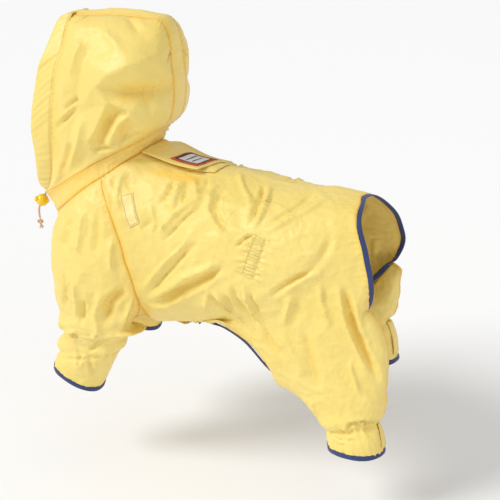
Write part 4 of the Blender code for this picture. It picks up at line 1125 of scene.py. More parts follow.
@dataclass(frozen=True)
class WaistGathers:
    """Two columns of elastic stitched down the side of the waist."""

    columns: tuple = (
        ((38, -80, -45), (33, -89, -64), (25, -91, -92)),
        ((50, -79, -46), (46, -88, -66), (38, -90, -95)),
    )
    # Length and height of the waves, how far they reach, and the depth of the stitched grooves.
    pitch: float = 10.0
    height: float = 1.5
    reach: float = 15.0
    groove: float = 0.9
    # How far from the lines the cloth has places for the finish's puckers.
    mapped: float = 45.0

    def lines(self, side: Side, stance: Stance) -> list[np.ndarray]:
        """The stitch lines of this side, top to bottom."""
        return [stance.posed(along(c, np.linspace(0, 1, 30)), side) for c in self.columns]

    def places(self, points: np.ndarray, stance: Stance) -> np.ndarray:
        """Metres across and along the gathers for each point, one metre where they are far."""
        flat = points.reshape(-1, 3)
        found = np.ones((len(flat), 2))
        for side in Side:
            first, second = self.lines(side, stance)
            line = (first + second) / 2
            k, away, gap = nearest(flat, line)
            tangent = unit(np.gradient(line, axis=0))
            run = run_of(line)[k] + (away * tangent[k]).sum(1)
            across = away @ unit((second - first).mean(0))
            near = gap < self.mapped**2
            found[near] = np.stack([across, run], 1)[near] * MM
        return found

    def move(self, points: np.ndarray, lines: list[np.ndarray], surface: BVHTree) -> np.ndarray:
        """A row of points, moved by the gathers.

        Args:
            points: Points in millimetres.
            lines: The stitch lines of one side.
            surface: The smooth cloth that they lie on.

        Returns:
            The moved points.
        """
        points = points.copy()
        for index, line in enumerate(lines):
            near = close_by(points, line, 3 * self.reach)
            if not len(near):
                continue
            normal = surface.find_nearest(Vector(line.mean(0)))[1]
            k, away, gap = nearest(points[near], line)
            gap, length = np.sqrt(gap), run_of(line)[-1]
            tangent = unit(np.gradient(line, axis=0))
            run = k / (len(line) - 1) * length + (away * tangent[k]).sum(1)
            ends = smooth((run + 3) / 6) * smooth((length + 3 - run) / 6)
            wide = np.sin(2 * np.pi * run / self.pitch + 2 * index + 0.9 * np.sin(run / 11))
            size = self.height * wide * np.exp(-((gap / self.reach) ** 2)) * smooth(gap / 6)
            size -= self.groove * np.exp(-((gap / 2.4) ** 2))
            points[near] += np.array(normal) * (size * ends)[:, None]
        return points


@dataclass
class Drape:
    """How the whole coat's cloth lies: folds, gathers and the unevenness between them."""

    pattern: "CoatPattern"
    seed: int = 11
    # Cell size of the smooth cloth that the folds are laid on.
    cell: float = 9.0
    # How far the far side's folds are moved, and the shares of their depth.
    shift: float = 6.0
    shares: tuple[float, float] = (0.45, 0.8)
    # Unevenness: count of waves, their longest and shortest length, and a factor on their height.
    waves: int = 26
    lengths: tuple[float, float] = (120, 22)
    height: float = 0.45
    folds: FoldField = field(init=False)
    hems: list[HemGathers] = field(init=False, default_factory=list)
    # Front and rear of the gathers above a hind hem and above a front one.
    hem_ends: tuple = (
        ((120, -56, -282), (182, -60, -261)),
        ((-237, -60, -243), (-149, -60, -226)),
    )
    waist: WaistGathers = WaistGathers()
    facets: Facets = Facets()
    facet_gains: tuple[float, float] = (1.5, 0.6)

    def __post_init__(self) -> None:
        """Lays out the folds of both sides."""
        random = np.random.default_rng(self.seed)
        stance = self.pattern.stance
        grids = [outward(*panel) for panel in self.pattern.panels().values()]
        self.surface = tree_of([refined(grid, self.cell) for grid in grids])
        self.folds = FoldField(self.surface)
        for table in (FoldTables.BACK, FoldTables.SLEEVE, FoldTables.HOOD):
            for row in table:
                fold = Fold(*row)
                self.folds.add(fold)
                shift = random.uniform(-self.shift, self.shift, 3) * (1, 0, 1)
                if table is FoldTables.HOOD:
                    self.folds.add(fold.mirrored(shift))
                else:
                    share = random.uniform(*self.shares)
                    self.folds.add(fold.moved(shift, stance, Side.RIGHT, share))
        for row in FoldTables.SINGLE:
            self.folds.add(Fold(*row))
        for side in Side:
            for ends in self.hem_ends:
                ends = stance.posed(np.array(ends, float), side)
                turn = 1.3 * side.value + 0.01 * ends[0, 0]
                self.hems.append(HemGathers(tuple(ends[0]), tuple(ends[1]), turn))
        way = unit(random.normal(size=(self.waves, 3)))
        length = np.geomspace(*self.lengths, self.waves)
        self.waves_of = (
            way * (2 * np.pi / length)[:, None],
            random.uniform(0, 2 * np.pi, self.waves),
            unit(random.normal(size=(self.waves, 3))) * (0.011 * length)[:, None] ** 0.9,
        )

    def settle(self, points: np.ndarray) -> np.ndarray:
        """Points of the smooth coat, where its cloth really lies."""
        moved = self.folds.move(points.reshape(-1, 3))
        for side, gain in zip(Side, self.facet_gains):
            moved = self.facets.move(moved, self.surface, side, gain)
            lines = self.waist.lines(side, self.pattern.stance)
            moved = self.waist.move(moved, lines, self.surface)
        for hem in self.hems:
            moved = hem.move(moved)
        turn, phase, size = self.waves_of
        moved = moved + np.sin(moved @ turn.T + phase) @ size * self.height
        return moved.reshape(points.shape)


@dataclass(frozen=True)
class Pucker:
    """What a line of sewing does to the cloth beside it."""

    # Depth and width of the groove, and length, height and reach of the puckers beside it.
    groove: float = 0.4
    width: float = 1.2
    pitch: float = 6.5
    height: float = 0.32
    reach: float = 3.2

    def lift(self, away: np.ndarray, run: np.ndarray, phase: float) -> np.ndarray:
        """Height above the cloth at this distance from the seam and this length along it."""
        wave = np.sin(2 * np.pi * run / self.pitch + phase + 1.4 * np.sin(run / 17 + phase))
        near = away / self.reach
        pucker = self.height * wave * near * np.exp(1 - near)
        return pucker - self.groove * np.exp(-((away / self.width) ** 2))


@dataclass(frozen=True)
class Crumple:
    """Fine sharp wrinkles all over the cloth."""

    height: float = 0.8
    # Length and share of each size of wrinkle, and the count of waves in each.
    scales: tuple = ((34.0, 1.0), (19.0, 0.6), (11.0, 0.35))
    waves: int = 14
    # Height of a crest, and the depth below it at which the hollows end.
    crest: float = 0.55
    deepest: float = 1.3
    seed: int = 4

    def lift(self, points: np.ndarray) -> np.ndarray:
        """Height above the cloth at each point."""
        total = np.zeros(points.shape[:-1])
        random = np.random.default_rng(self.seed)
        for scale, share in self.scales:
            way = unit(random.normal(size=(self.waves, 3))) * (2 * np.pi / scale)
            wave = np.sin(points @ way.T + random.uniform(0, 6.3, self.waves)).sum(-1)
            wave = abs(wave) / np.sqrt(self.waves / 2)
            total += share * (self.crest - np.minimum(wave, self.deepest))
        return self.height * total


@dataclass
class CoatPattern:
    """The whole coat before its cloth is draped, panel by panel."""

    stance: Stance = Stance()
    neck: Loop = Loop(-184.0, -21.0, 82.0, 70.0, 0.803, 0.597)
    hood_seam: Loop = Loop(-187.0, 0.5, 94.0, 66.0, 0.858, 0.514)
    tuck: float = 2.0

    def __post_init__(self) -> None:
        """Cuts the panels."""
        self.sleeve = SleevePattern(self.neck, self.stance)
        self.body = BodyPattern(self.neck, self.stance, self.sleeve)
        self.hood = HoodPattern(self.hood_seam)
        self.backs = {side: self.body.back(side) for side in Side}
        self.inners = {side: self.body.inner(side, self.backs[side]) for side in Side}
        self.sleeves = {side: self.sleeve.grid(side) for side in Side}
        self.sides = {side: self.hood.side(side) for side in Side}
        self.chest = ChestPattern(self.body).grid()
        self.band = BandPattern(self.neck, self.hood).grid()
        left, right = (self.tucked(self.backs[side]) for side in Side)
        self.back = np.concatenate([left[::-1], right[1:]])

    def tucked(self, back: np.ndarray) -> np.ndarray:
        """A half back whose free edges go a little way into their binding."""
        back, first = back.copy(), self.body.rows()[1]
        rear, belly = back[: first + 1, -1], back[first - self.body.open_steps : first + 1, 0]
        rear += unit(rear - back[: first + 1, -2]) * self.tuck
        belly += unit(belly - back[first - self.body.open_steps : first + 1, 1]) * self.tuck
        return back

    def panels(self) -> dict[str, tuple[np.ndarray, Row]]:
        """Every panel by its node's name, each with a point that it faces away from."""
        hood = (-160, 0, 60)
        found = {
            "back_body": (self.back, (20, 0, -90)),
            "chest_panel": (self.chest, (-180, 0, -100)),
            "neck_band": (self.band, (-186, 0, -10)),
            "hood_gusset": (self.hood.strip_grid(), hood),
            "hood_casing": (self.hood.casing_grid(), hood),
        }
        for side in Side:
            leg = 60 * side.value
            found[f"hind_inner_{side.word}"] = (self.inners[side], (115, leg, -220))
            found[f"sleeve_{side.word}"] = (self.sleeves[side], (-180, leg, -120))
            found[f"hood_side_{side.word}"] = (self.sides[side], hood)
        return found


def seamless(grid: np.ndarray) -> np.ndarray:
    """Normals of a grid, alike where its first and last column meet."""
    found = normals_of(grid)
    meets = np.linalg.norm(grid[:, 0] - grid[:, -1], axis=1) < 0.01
    mean = unit(found[:, 0] + found[:, -1])
    found[meets, 0] = found[meets, -1] = mean[meets]
    return found


def eased(grid: np.ndarray, fine: np.ndarray, passes: int = 10) -> np.ndarray:
    """Eases the cells that the folds have turned over, away from the rim.

    Args:
        grid: The draped cloth.
        fine: The same cloth before its folds.
        passes: How often the cells are looked at and eased.

    Returns:
        The eased cloth.
    """
    grid, facing = grid.copy(), normals_of(fine)
    for _ in range(passes):
        pinch = smooth((0.5 - (normals_of(grid) * facing).sum(-1)) / 0.3)
        wide = np.pad(pinch, 1, mode="edge")
        beside = wide[:-2, 1:-1], wide[2:, 1:-1], wide[1:-1, :-2], wide[1:-1, 2:]
        pinch = np.maximum.reduce(beside)
        grid[1:-1, 1:-1] += pinch[1:-1, 1:-1, None] * (neighbours(grid) - grid[1:-1, 1:-1])
    return grid


@dataclass
class ClothPanel:
    """One cut of cloth, draped, sewn and given its thickness."""

    name: str
    base: np.ndarray
    inside: Row
    held: Held = Held.DRAPED
    # Cell size, the cloth's wall, and the distance from a seam where fine wrinkles are whole.
    step: float = 2.0
    wall: float = 0.7
    margin: float = 7.0
    # Whether the first and the last column meet.
    closed: bool = False
    # Shares of the fine wrinkles and of the warm shade painted all over the panel.
    crumpled: float = 1.0
    warmth: float = 0.0
    # Lines under other cloth, where its shadow is painted: both ends, and how far the painted
    # shadow reaches.
    shades: tuple = ()
    gathers: np.ndarray | None = None
    grid: np.ndarray = field(init=False)
    warm: np.ndarray = field(init=False)

    def drape(self, drape: Drape, pucker: Pucker, crumple: Crumple) -> "ClothPanel":
        """Refines the panel and lays it as its cloth lies.

        Args:
            drape: Folds and gathers of the whole coat.
            pucker: What the seams round the panel do to it.
            crumple: Fine wrinkles.

        Returns:
            The panel.
        """
        fine = refined(outward(self.base, self.inside), self.step)
        self.flat = flat_places(fine)
        grid = eased(drape.settle(fine), fine)
        down, across = arc(grid, 0), arc(grid, 1)
        lift = np.zeros(grid.shape[:2])
        gaps = [(down, across), (down[-1:] - down, across)]
        if not self.closed:
            gaps += [(across, down), (across[:, -1:] - across, down)]
        for i, (away, run) in enumerate(gaps):
            lift += pucker.lift(away, run, 1.3 * i)
        near = np.minimum.reduce([away for away, _ in gaps])
        lift += self.crumpled * crumple.lift(grid) * smooth(near / self.margin)
        # Shade painted as warm colour: near seams, in troughs, and under other cloth.
        self.warm = self.warmed(grid, near, -((grid - fine) * normals_of(fine)).sum(-1))
        self.grid = grid + seamless(grid) * lift[..., None]
        return self

    def warmed(self, grid: np.ndarray, near: np.ndarray, depth: np.ndarray) -> np.ndarray:
        """How much warm shade is painted on each point's colour, for light that bounces inside
        folds and seams and for shadow under other cloth.

        Args:
            grid: The draped cloth.
            near: Distance from the nearest seam.
            depth: Depth below the smooth cloth.

        Returns:
            A share from 0 to 1 for each point.
        """
        # Painted shade: close to seams, in troughs below the smooth cloth, all over some panels,
        # and under other cloth.
        warm = 0.9 * np.exp(-((near / 3.5) ** 2)) + 0.2 * np.exp(-near / 12)
        warm += self.warmth + 0.4 * smooth(depth / 8)
        for start, end, reach in self.shades:
            start, run = np.array(start), np.array(end) - start
            at = np.clip(((grid - start) @ run) / (run @ run), 0, 1)
            away = np.linalg.norm(grid - start - at[..., None] * run, axis=-1)
            warm += np.exp(-((away / reach) ** 2))
        return np.clip(warm, 0, 1)

    def build(self, look: bpy.types.Material) -> bpy.types.Object:
        """Makes the piece and gives it its wall."""
        mesh = grid_mesh(self.name, self.grid, self.flat, True, self.gathers, self.warm)
        made = add_piece(f"cloth_{self.name}", mesh, look, (self.name,))
        give_wall(made, self.wall)
        area = sum(face.area for face in mesh.polygons)
        width, length = (float(size) for size in self.flat.reshape(-1, 2).max(0))
        scale = max(1.0, np.sqrt(area / (0.98 * width * length)))
        width, length = round(width * scale, 3), round(length * scale, 3)
        area = min(max(area, 0.31 * width * length), width * length)
        return made

    def line(
        self, row: int | None = None, column: int | None = None
    ) -> tuple[np.ndarray, np.ndarray]:
        """A line of the panel's points with its normals, for sewing along it."""
        place = np.s_[row, :] if row is not None else np.s_[:, column]
        return self.grid[place], normals_of(self.grid)[place]


# ------------------------------------------------------------------------------ sewn-on pieces


@dataclass
class Stitching:
    """Rows of thread, each stitch a small bead along its line."""

    # From one stitch to the next, and one stitch's length and radius.
    pitch: float = 3.2
    length: float = 2.3
    radius: float = 0.3
    points: list[np.ndarray] = field(default_factory=list)
    faces: list[np.ndarray] = field(default_factory=list)
    count: int = 0

    def bead(self) -> tuple[np.ndarray, np.ndarray]:
        """One stitch along +X: its points and its faces."""
        bm = bmesh.new()
        bmesh.ops.create_cone(bm, cap_ends=True, segments=5, radius1=0.5, radius2=0.5, depth=1.0)
        ends = [e for e in bm.edges if abs(e.verts[0].co.z - e.verts[1].co.z) < 0.1]
        bmesh.ops.bevel(
            bm, geom=ends, offset=0.2, segments=1, profile=0.5, affect="EDGES", material=-1
        )
        bmesh.ops.triangulate(bm, faces=bm.faces)
        points = np.array([vert.co for vert in bm.verts])[:, [2, 0, 1]]
        faces = np.array([[vert.index for vert in face.verts] for face in bm.faces])
        bm.free()
        return points, faces

    def sew(self, line: np.ndarray, normal: np.ndarray, lift: float = 0.12) -> None:
        """Sews along a line.

        Args:
            line: Points of the line in millimetres.
            normal: Outward normals there.
            lift: Height of the thread above the line.
        """
        knots = run_of(line)
        stitches = int(knots[-1] / self.pitch)
        if stitches < 1:
            return
        at = (np.arange(stitches) + 0.5) * self.pitch
        place = np.stack([np.interp(at, knots, line[:, i]) for i in range(3)], 1)
        up = unit(np.stack([np.interp(at, knots, normal[:, i]) for i in range(3)], 1))
        way = unit(np.gradient(place, axis=0)) if stitches > 1 else unit(line[-1:] - line[:1])
        side = unit(np.cross(up, way))
        up = np.cross(way, side)
        bead, faces = self.bead()
        local = (bead * (self.length, 2 * self.radius, 2 * self.radius))[None]
        made = place[:, None] + up[:, None] * lift
        for i, axis in enumerate((way, side, up)):
            made = made + local[..., i : i + 1] * axis[:, None]
        self.points.append(made.reshape(-1, 3))
        shift = self.count + np.arange(stitches)[:, None, None] * len(bead)
        self.faces.append((faces[None] + shift).reshape(-1, 3))
        self.count += stitches * len(bead)

    def build(self, name: str, look: bpy.types.Material, slot: Slot) -> bpy.types.Object:
        """Makes one piece of all the thread."""
        mesh = bpy.data.meshes.new(name)
        points, faces = np.concatenate(self.points) * MM, np.concatenate(self.faces)
        mesh.from_pydata(points.tolist(), [], faces.tolist())
        mesh.shade_smooth()
        return add_piece(name, mesh, look)


@dataclass(frozen=True)
class Tape:
    """A folded binding tape along an edge."""

    width: float = 6.0
    thick: float = 2.2
    # Where it is stitched: share of the width, and of half the thickness.
    sewn: tuple[float, float] = (0.78, 0.6)
    # Half of its section, outer edge first: share of the width, share of half the thickness.
    section: Table = (
        (-0.02, 0.0), (0.0, 0.5), (0.05, 0.86), (0.14, 1.0), (0.45, 0.9), (0.72, 0.86),
        (0.78, 0.6), (0.84, 0.84), (0.95, 0.86), (1.0, 0.4),
    )  # fmt: skip

    def build(
        self, name: str, line: np.ndarray, inward: np.ndarray, normal: np.ndarray
    ) -> tuple[bpy.types.Mesh, tuple[np.ndarray, np.ndarray]]:
        """Sweeps the tape along a closed edge.

        Args:
            name: Name of the mesh.
            line: Outer edge of the tape.
            inward: Unit ways from it into the cloth.
            normal: Outward normals.

        Returns:
            The mesh, and the tape's stitch line with its normals.
        """
        half = np.array(self.section)
        other = half[1:][::-1] * (1, -1)
        outline = np.concatenate([half, other, half[:1]]) * (self.width, self.thick / 2)
        ring = line[:, None] + inward[:, None] * outline[None, :, :1]
        ring = ring + normal[:, None] * outline[None, :, 1:]
        ring = np.concatenate([ring, ring[:1]])
        ring = turned(ring, ring - ring.mean(1, keepdims=True))
        mesh = grid_mesh(name, ring, flat_places(ring), weld=True)
        across, up = self.sewn
        sewn = line + inward * self.width * across + normal * (up * self.thick / 2)
        return mesh, (np.concatenate([sewn, sewn[:1]]), np.concatenate([normal, normal[:1]]))


def edge_ways(
    edge: np.ndarray, normal: np.ndarray, inside: np.ndarray, rounds: int = 2
) -> tuple[np.ndarray, np.ndarray]:
    """Ways into the cloth and outward normals along a closed edge.

    Args:
        edge: Points of the edge.
        normal: Rough outward normals there.
        inside: A point of the cloth inside each.
        rounds: How often the ways are evened out.

    Returns:
        Unit ways into the cloth, square to the edge, and unit normals.
    """
    tangent = ring_ways(edge)
    inward = np.cross(normal, tangent)
    inward *= np.sign((inward * (inside - edge)).sum(1, keepdims=True))
    for _ in range(rounds):
        inward = unit(inward + 0.6 * (np.roll(inward, 1, 0) + np.roll(inward, -1, 0)))
        inward = unit(inward - tangent * (inward * tangent).sum(1, keepdims=True))
    square = np.cross(tangent, inward)
    return inward, square * np.sign((square * normal).sum(1, keepdims=True))


@dataclass
class Bindings:
    """The navy tapes round the opening and the four hems."""

    pattern: CoatPattern
    drape: Drape
    look: bpy.types.Material
    thread: Stitching
    tape: Tape = Tape()
    # The cloth's wall, and how far the tape's outer edge lies past the cloth's.
    wall: float = 0.7
    past: float = 0.4
    # Distance between its rings, round the opening and round a hem.
    steps: tuple[float, float] = (2.4, 2.3)

    def opening_edge(self) -> tuple[np.ndarray, np.ndarray, np.ndarray]:
        """Points of the cloth's free edge round the opening, normals, and points inside."""
        pattern = self.pattern
        first = pattern.body.rows()[1]
        belly = first - pattern.body.open_steps
        halves = []
        for side in Side:
            back, inner = pattern.backs[side], pattern.inners[side]
            out, under = normals_of(back), normals_of(inner)
            half = [(back[i, -1], out[i, -1], back[i, -2]) for i in range(first + 1)]
            turns = range(inner.shape[1] - 2, 0, -1)
            half += [(inner[0, j], under[0, j], inner[1, j]) for j in turns]
            half += [(back[i, 0], out[i, 0], back[i, 3]) for i in range(first, belly - 1, -1)]
            halves.append(half if side is Side.LEFT else half[::-1][:-1])
        chest = pattern.chest
        middle = chest.shape[1] // 2
        belly_point = (chest[-1, middle], np.array((0, 0, -1.0)), chest[-2, middle])
        edge, normal, inside = (
            np.array([row[i] for row in [*halves[0], belly_point, *halves[1]]]) for i in range(3)
        )
        away = (normal * (edge - np.array((40, 0, -110)))).sum(1, keepdims=True)
        return edge, normal * np.sign(away), inside

    def build_opening(self, name: str) -> bpy.types.Object:
        """The tape round the tail, the open underside and the inner thighs."""
        edge, normal, inside = self.opening_edge()
        inward, normal = edge_ways(edge, normal, inside)
        line = edge - inward * (self.tape.width + self.past) - normal * self.wall
        for _ in range(2):
            line = (np.roll(line, 1, 0) + 2 * line + np.roll(line, -1, 0)) / 4
        band = np.stack([line, line + inward * 6, line + normal * 3])
        band = np.concatenate([band[:, -3:], band, band[:, :3]], 1)
        knots = np.arange(band.shape[1])
        count = int(run_of(line)[-1] / self.steps[0])
        places = np.linspace(3, 3 + len(line), count, endpoint=False)
        fine = through(knots, band.swapaxes(0, 1), places).swapaxes(0, 1)
        line, inner, outer = (self.drape.settle(row) for row in fine)
        inward, normal = edge_ways(line, unit(outer - line), inner, 1)
        return self.sweep(name, line, inward, normal)

    def build_hem(self, name: str, ring: np.ndarray, above: np.ndarray) -> bpy.types.Object:
        """The tape round one hem.

        Args:
            name: The hem's node.
            ring: The hem's edge before it is draped.
            above: The line of the cloth over it.

        Returns:
            The object.
        """
        band = np.stack([ring, above])
        band = np.concatenate([band, band[:, :1]], 1)
        fine = self.drape.settle(refined(band, self.steps[1]))[:, :-1]
        line, inner = fine[0], fine[2]
        inward = unit(inner - line)
        normal = unit(np.cross(ring_ways(line), inward))
        if (normal * (line - line.mean(0))).sum() < 0:
            normal = -normal
        line = line - inward * self.past - normal * self.wall / 2
        return self.sweep(name, line, inward, normal)

    def sweep(
        self, name: str, line: np.ndarray, inward: np.ndarray, normal: np.ndarray
    ) -> bpy.types.Object:
        """Makes one tape with its row of stitches."""
        mesh, sewn = self.tape.build(name, line, inward, normal)
        made = add_piece(f"tape_{name}", mesh, self.look, (name,))
        self.thread.sew(*sewn, lift=0.1)
        return made


@dataclass(frozen=True)
class Layer:
    """A piece of cloth that lies on other cloth."""

    name: str
    corners: Table
    # The gap under it, and its own wall.
    gap: float
    wall: float
    # The way in which it is laid, and how stiffly it bridges hollows, in rounds of evening out.
    toward: Row = (0, 0, -1)
    stiff: int = 0
    step: float = 2.0
    # How far its two side edges stand up, and how round its corners are.
    curl: tuple[float, float] = (0.0, 0.0)
    rounding: float = 0.0
    # How far before the corners its way to the cloth begins.
    clear: float = 200.0
    # Its material slot, and the cloth that it lies on.
    slot: Slot = Slot.NYLON
    rests_on: str = "cloth_back_body"
    # Rows of stitches, in cells from the rim, and the height of the thread.
    sewn: tuple[int, ...] = (1,)
    lift: float = 0.12

    def lay(self, under: BVHTree) -> np.ndarray:
        """Lays the piece on the cloth under it.

        Args:
            under: The cloth that it lies on.

        Returns:
            Its outer face, as a grid of points in millimetres.
        """
        corners, toward = np.array(self.corners, float), np.array(self.toward, float)
        size = np.linalg.norm(np.diff(corners[[0, 1, 2]], axis=0), axis=1)
        rows, columns = (max(4, round(s / self.step)) for s in size[::-1])
        v, u = np.linspace(0, 1, rows + 1)[:, None], np.linspace(0, 1, columns + 1)[None, :]
        u = 0.5 + (u - 0.5) * (1 - self.rounding * (2 * v - 1) ** 6)
        shares = ((1 - u) * (1 - v), u * (1 - v), u * v, (1 - u) * v)
        flat = sum(share[..., None] * corner for share, corner in zip(shares, corners))
        start = flat - toward * self.clear
        depth = np.empty(flat.shape[:2])
        for index in np.ndindex(depth.shape):
            hit = under.ray_cast(Vector(start[index]), Vector(toward))
            depth[index] = hit[3] if hit[0] is not None else np.nan
        depth = np.where(np.isnan(depth), np.nanmean(depth), depth) - self.gap - self.wall
        held = depth.copy()
        for _ in range(self.stiff):
            held = np.minimum(neighbours(np.pad(held, 1, mode="edge")), depth)
        low, high = (smooth((side - 0.62) / 0.38) for side in (1 - u, u))
        grid = start + toward * (held - high * self.curl[1] - low * self.curl[0])[..., None]
        return turned(grid, -toward)

    def build(
        self, grid: np.ndarray, look: bpy.types.Material, thread: Stitching
    ) -> bpy.types.Object:
        flat = flat_places(grid)
        size = flat.reshape(-1, 2).max(0)
        if self.slot is Slot.LABEL:
            flat = flat / size
        mesh = grid_mesh(self.name, grid, flat)
        made = add_piece(f"cloth_{self.name}", mesh, look, (self.name,))
        give_wall(made, self.wall)
        edge = made.modifiers.new("soft edge", "BEVEL")
        edge.width, edge.segments, edge.limit_method = self.wall * 0.35 * MM, 2, "ANGLE"
        size, rests = (float(size[0]), float(size[1])), [self.rests_on]
        for inset in self.sewn:
            thread.sew(*self.rim(grid, inset), lift=self.lift)
        return made

    def rim(self, grid: np.ndarray, inset: int) -> list[np.ndarray]:
        """A closed line of the grid's points this many cells inside its rim, with normals."""
        lines = []
        for points in (grid, normals_of(grid)):
            box = points[inset:-inset, inset:-inset]
            lines.append(np.concatenate([box[0], box[1:, -1], box[-1, -2::-1], box[-2::-1, 0]]))
        return lines


# The flap over the leash hole, the tab under it and the label on it.
FLAP = Layer(
    "leash_flap", ((-121, -41, 0), (-106, 34, 0), (-35, 30, 0), (-50, -39, 0)),
    1.5, 1.3, stiff=60, curl=(4.2, 1.2), rounding=0.04, sewn=(1, 4),
)  # fmt: skip
FLAP_TAB = Layer(
    "flap_tab", ((-66, -33, 0), (-66, 28, 0), (-29, 14, 0), (-33, -27, 0)), 0.5, 1.0, stiff=14
)
LABEL = Layer(
    "label", ((-88, -31, 0), (-79, 10, 0), (-45, 12, 0), (-54, -31, 0)),
    0.35, 0.8, slot=Slot.LABEL, rests_on="cloth_leash_flap", lift=0.15,
)  # fmt: skip
# The pale patch on the left shoulder.
PATCH = Layer(
    "patch_left", ((-133, 0, -19), (-119, 0, -16), (-104, 0, -47), (-116, 0, -54)),
    0.5, 0.9, toward=(0, 1, 0), step=1.5, slot=Slot.PATCH,
)  # fmt: skip


@dataclass
class HemTab:
    """The tab across the slit at the back of a hind hem."""

    side: Side
    # Its ends among the last four rows over the hem, and its sides among four columns there.
    rows: tuple[float, float] = (0.5, 2.6)
    columns: tuple[float, float] = (0.6, 3)
    lift: float = 1.7
    wall: float = 1.0
    step: float = 1.6

    def build(
        self, pattern: CoatPattern, drape: Drape, look: bpy.types.Material, thread: Stitching
    ) -> None:
        """Makes the tab."""
        back, inner = pattern.backs[self.side], pattern.inners[self.side]
        last = slice(-4, None)
        grid = np.stack([back[last, -3], back[last, -2], back[last, -1], inner[last, -2]], 1)
        for ends in (self.rows, self.columns):
            grid = through(np.arange(4), grid, np.linspace(*ends, 5)).swapaxes(0, 1)
        fine = drape.settle(refined(outward(grid, back[-1].mean(0)), self.step))
        fine = fine + normals_of(fine) * self.lift
        Layer(f"hem_tab_{self.side.word}", (), 0.0, self.wall).build(fine, look, thread)


@dataclass
class Casing:
    """The tube of cloth round the face that the drawcord runs in."""

    pattern: CoatPattern
    # Its swell outside and inside, and the height, spacing and slant of its gathers.
    outer: float = 2.4
    inner: float = 1.2
    gathers: float = 0.8
    pitch: float = 9.5
    skew: float = 9.0
    # How far it laps over the hood and sinks into it, and how much more at the strip's corners.
    lap: float = 2.6
    sink: float = 0.3
    corner: float = 1.4
    step: float = 2.2
    around: int = 25
    # Where it is stitched: share of its width, and of its swell outside.
    sewn: tuple[float, float] = (0.9, 0.62)

    def build(self, drape: Drape, look: bpy.types.Material, thread: Stitching) -> bpy.types.Object:
        """Makes the casing with its gathers.

        Args:
            drape: How the coat's cloth lies.
            look: Material of the cloth.
            thread: Where its stitches go.

        Returns:
            The object.
        """
        grid = refined(outward(*self.pattern.panels()["hood_casing"]), self.step)
        front, rear = drape.settle(grid[:, 0]), drape.settle(grid[:, -1])
        out = normals_of(np.stack([front, (front + rear) / 2, rear], 1))[:, 1]
        strip = self.pattern.hood.strip_half
        corner = np.exp(-(((abs(rear[:, 1:2]) - strip) / 7) ** 2)) * (rear[:, 2:] > 160)
        corner = self.corner * corner
        rear = rear + unit(rear - front) * (self.lap + corner) + out * (corner - self.sink)
        run = run_of((front + rear) / 2)
        rows = []
        for turn in np.linspace(0, 2 * np.pi, self.around):
            share, up = (1 - np.cos(turn)) / 2, np.sin(turn)
            size = (self.outer if up > 0 else self.inner) * abs(up) ** (0.7 + 0.6 * share)
            size = size + self.gathers * self.wave(run, share) * abs(up) ** 1.2
            rows.append(front + (rear - front) * share + out * (size * np.sign(up))[:, None])
        tube = np.array(rows)
        tube = turned(tube, tube - tube.mean(0))
        flat = flat_places(tube)
        mesh = grid_mesh("hood_casing", tube, flat, weld=True)
        made = add_piece("cloth_hood_casing", mesh, look, ("hood_casing",))
        across, up = self.sewn
        sewn = front + (rear - front) * across + out * (self.outer * up)
        thread.sew(sewn, out, lift=0.25)
        return made

    def wave(self, run: np.ndarray, share: float) -> np.ndarray:
        """Heights of the gathers along the casing, at this share of its width."""
        skewed = run + self.skew * share
        wave = np.sin(2 * np.pi * skewed / self.pitch + 1.3 * np.sin(run / 19))
        wave += 0.8 * np.sin(2 * np.pi * skewed / (2.3 * self.pitch) + 2 * np.sin(run / 27))
        return wave * (0.5 + 0.5 * np.sin(run / 31 + 1) * np.sin(run / 12))


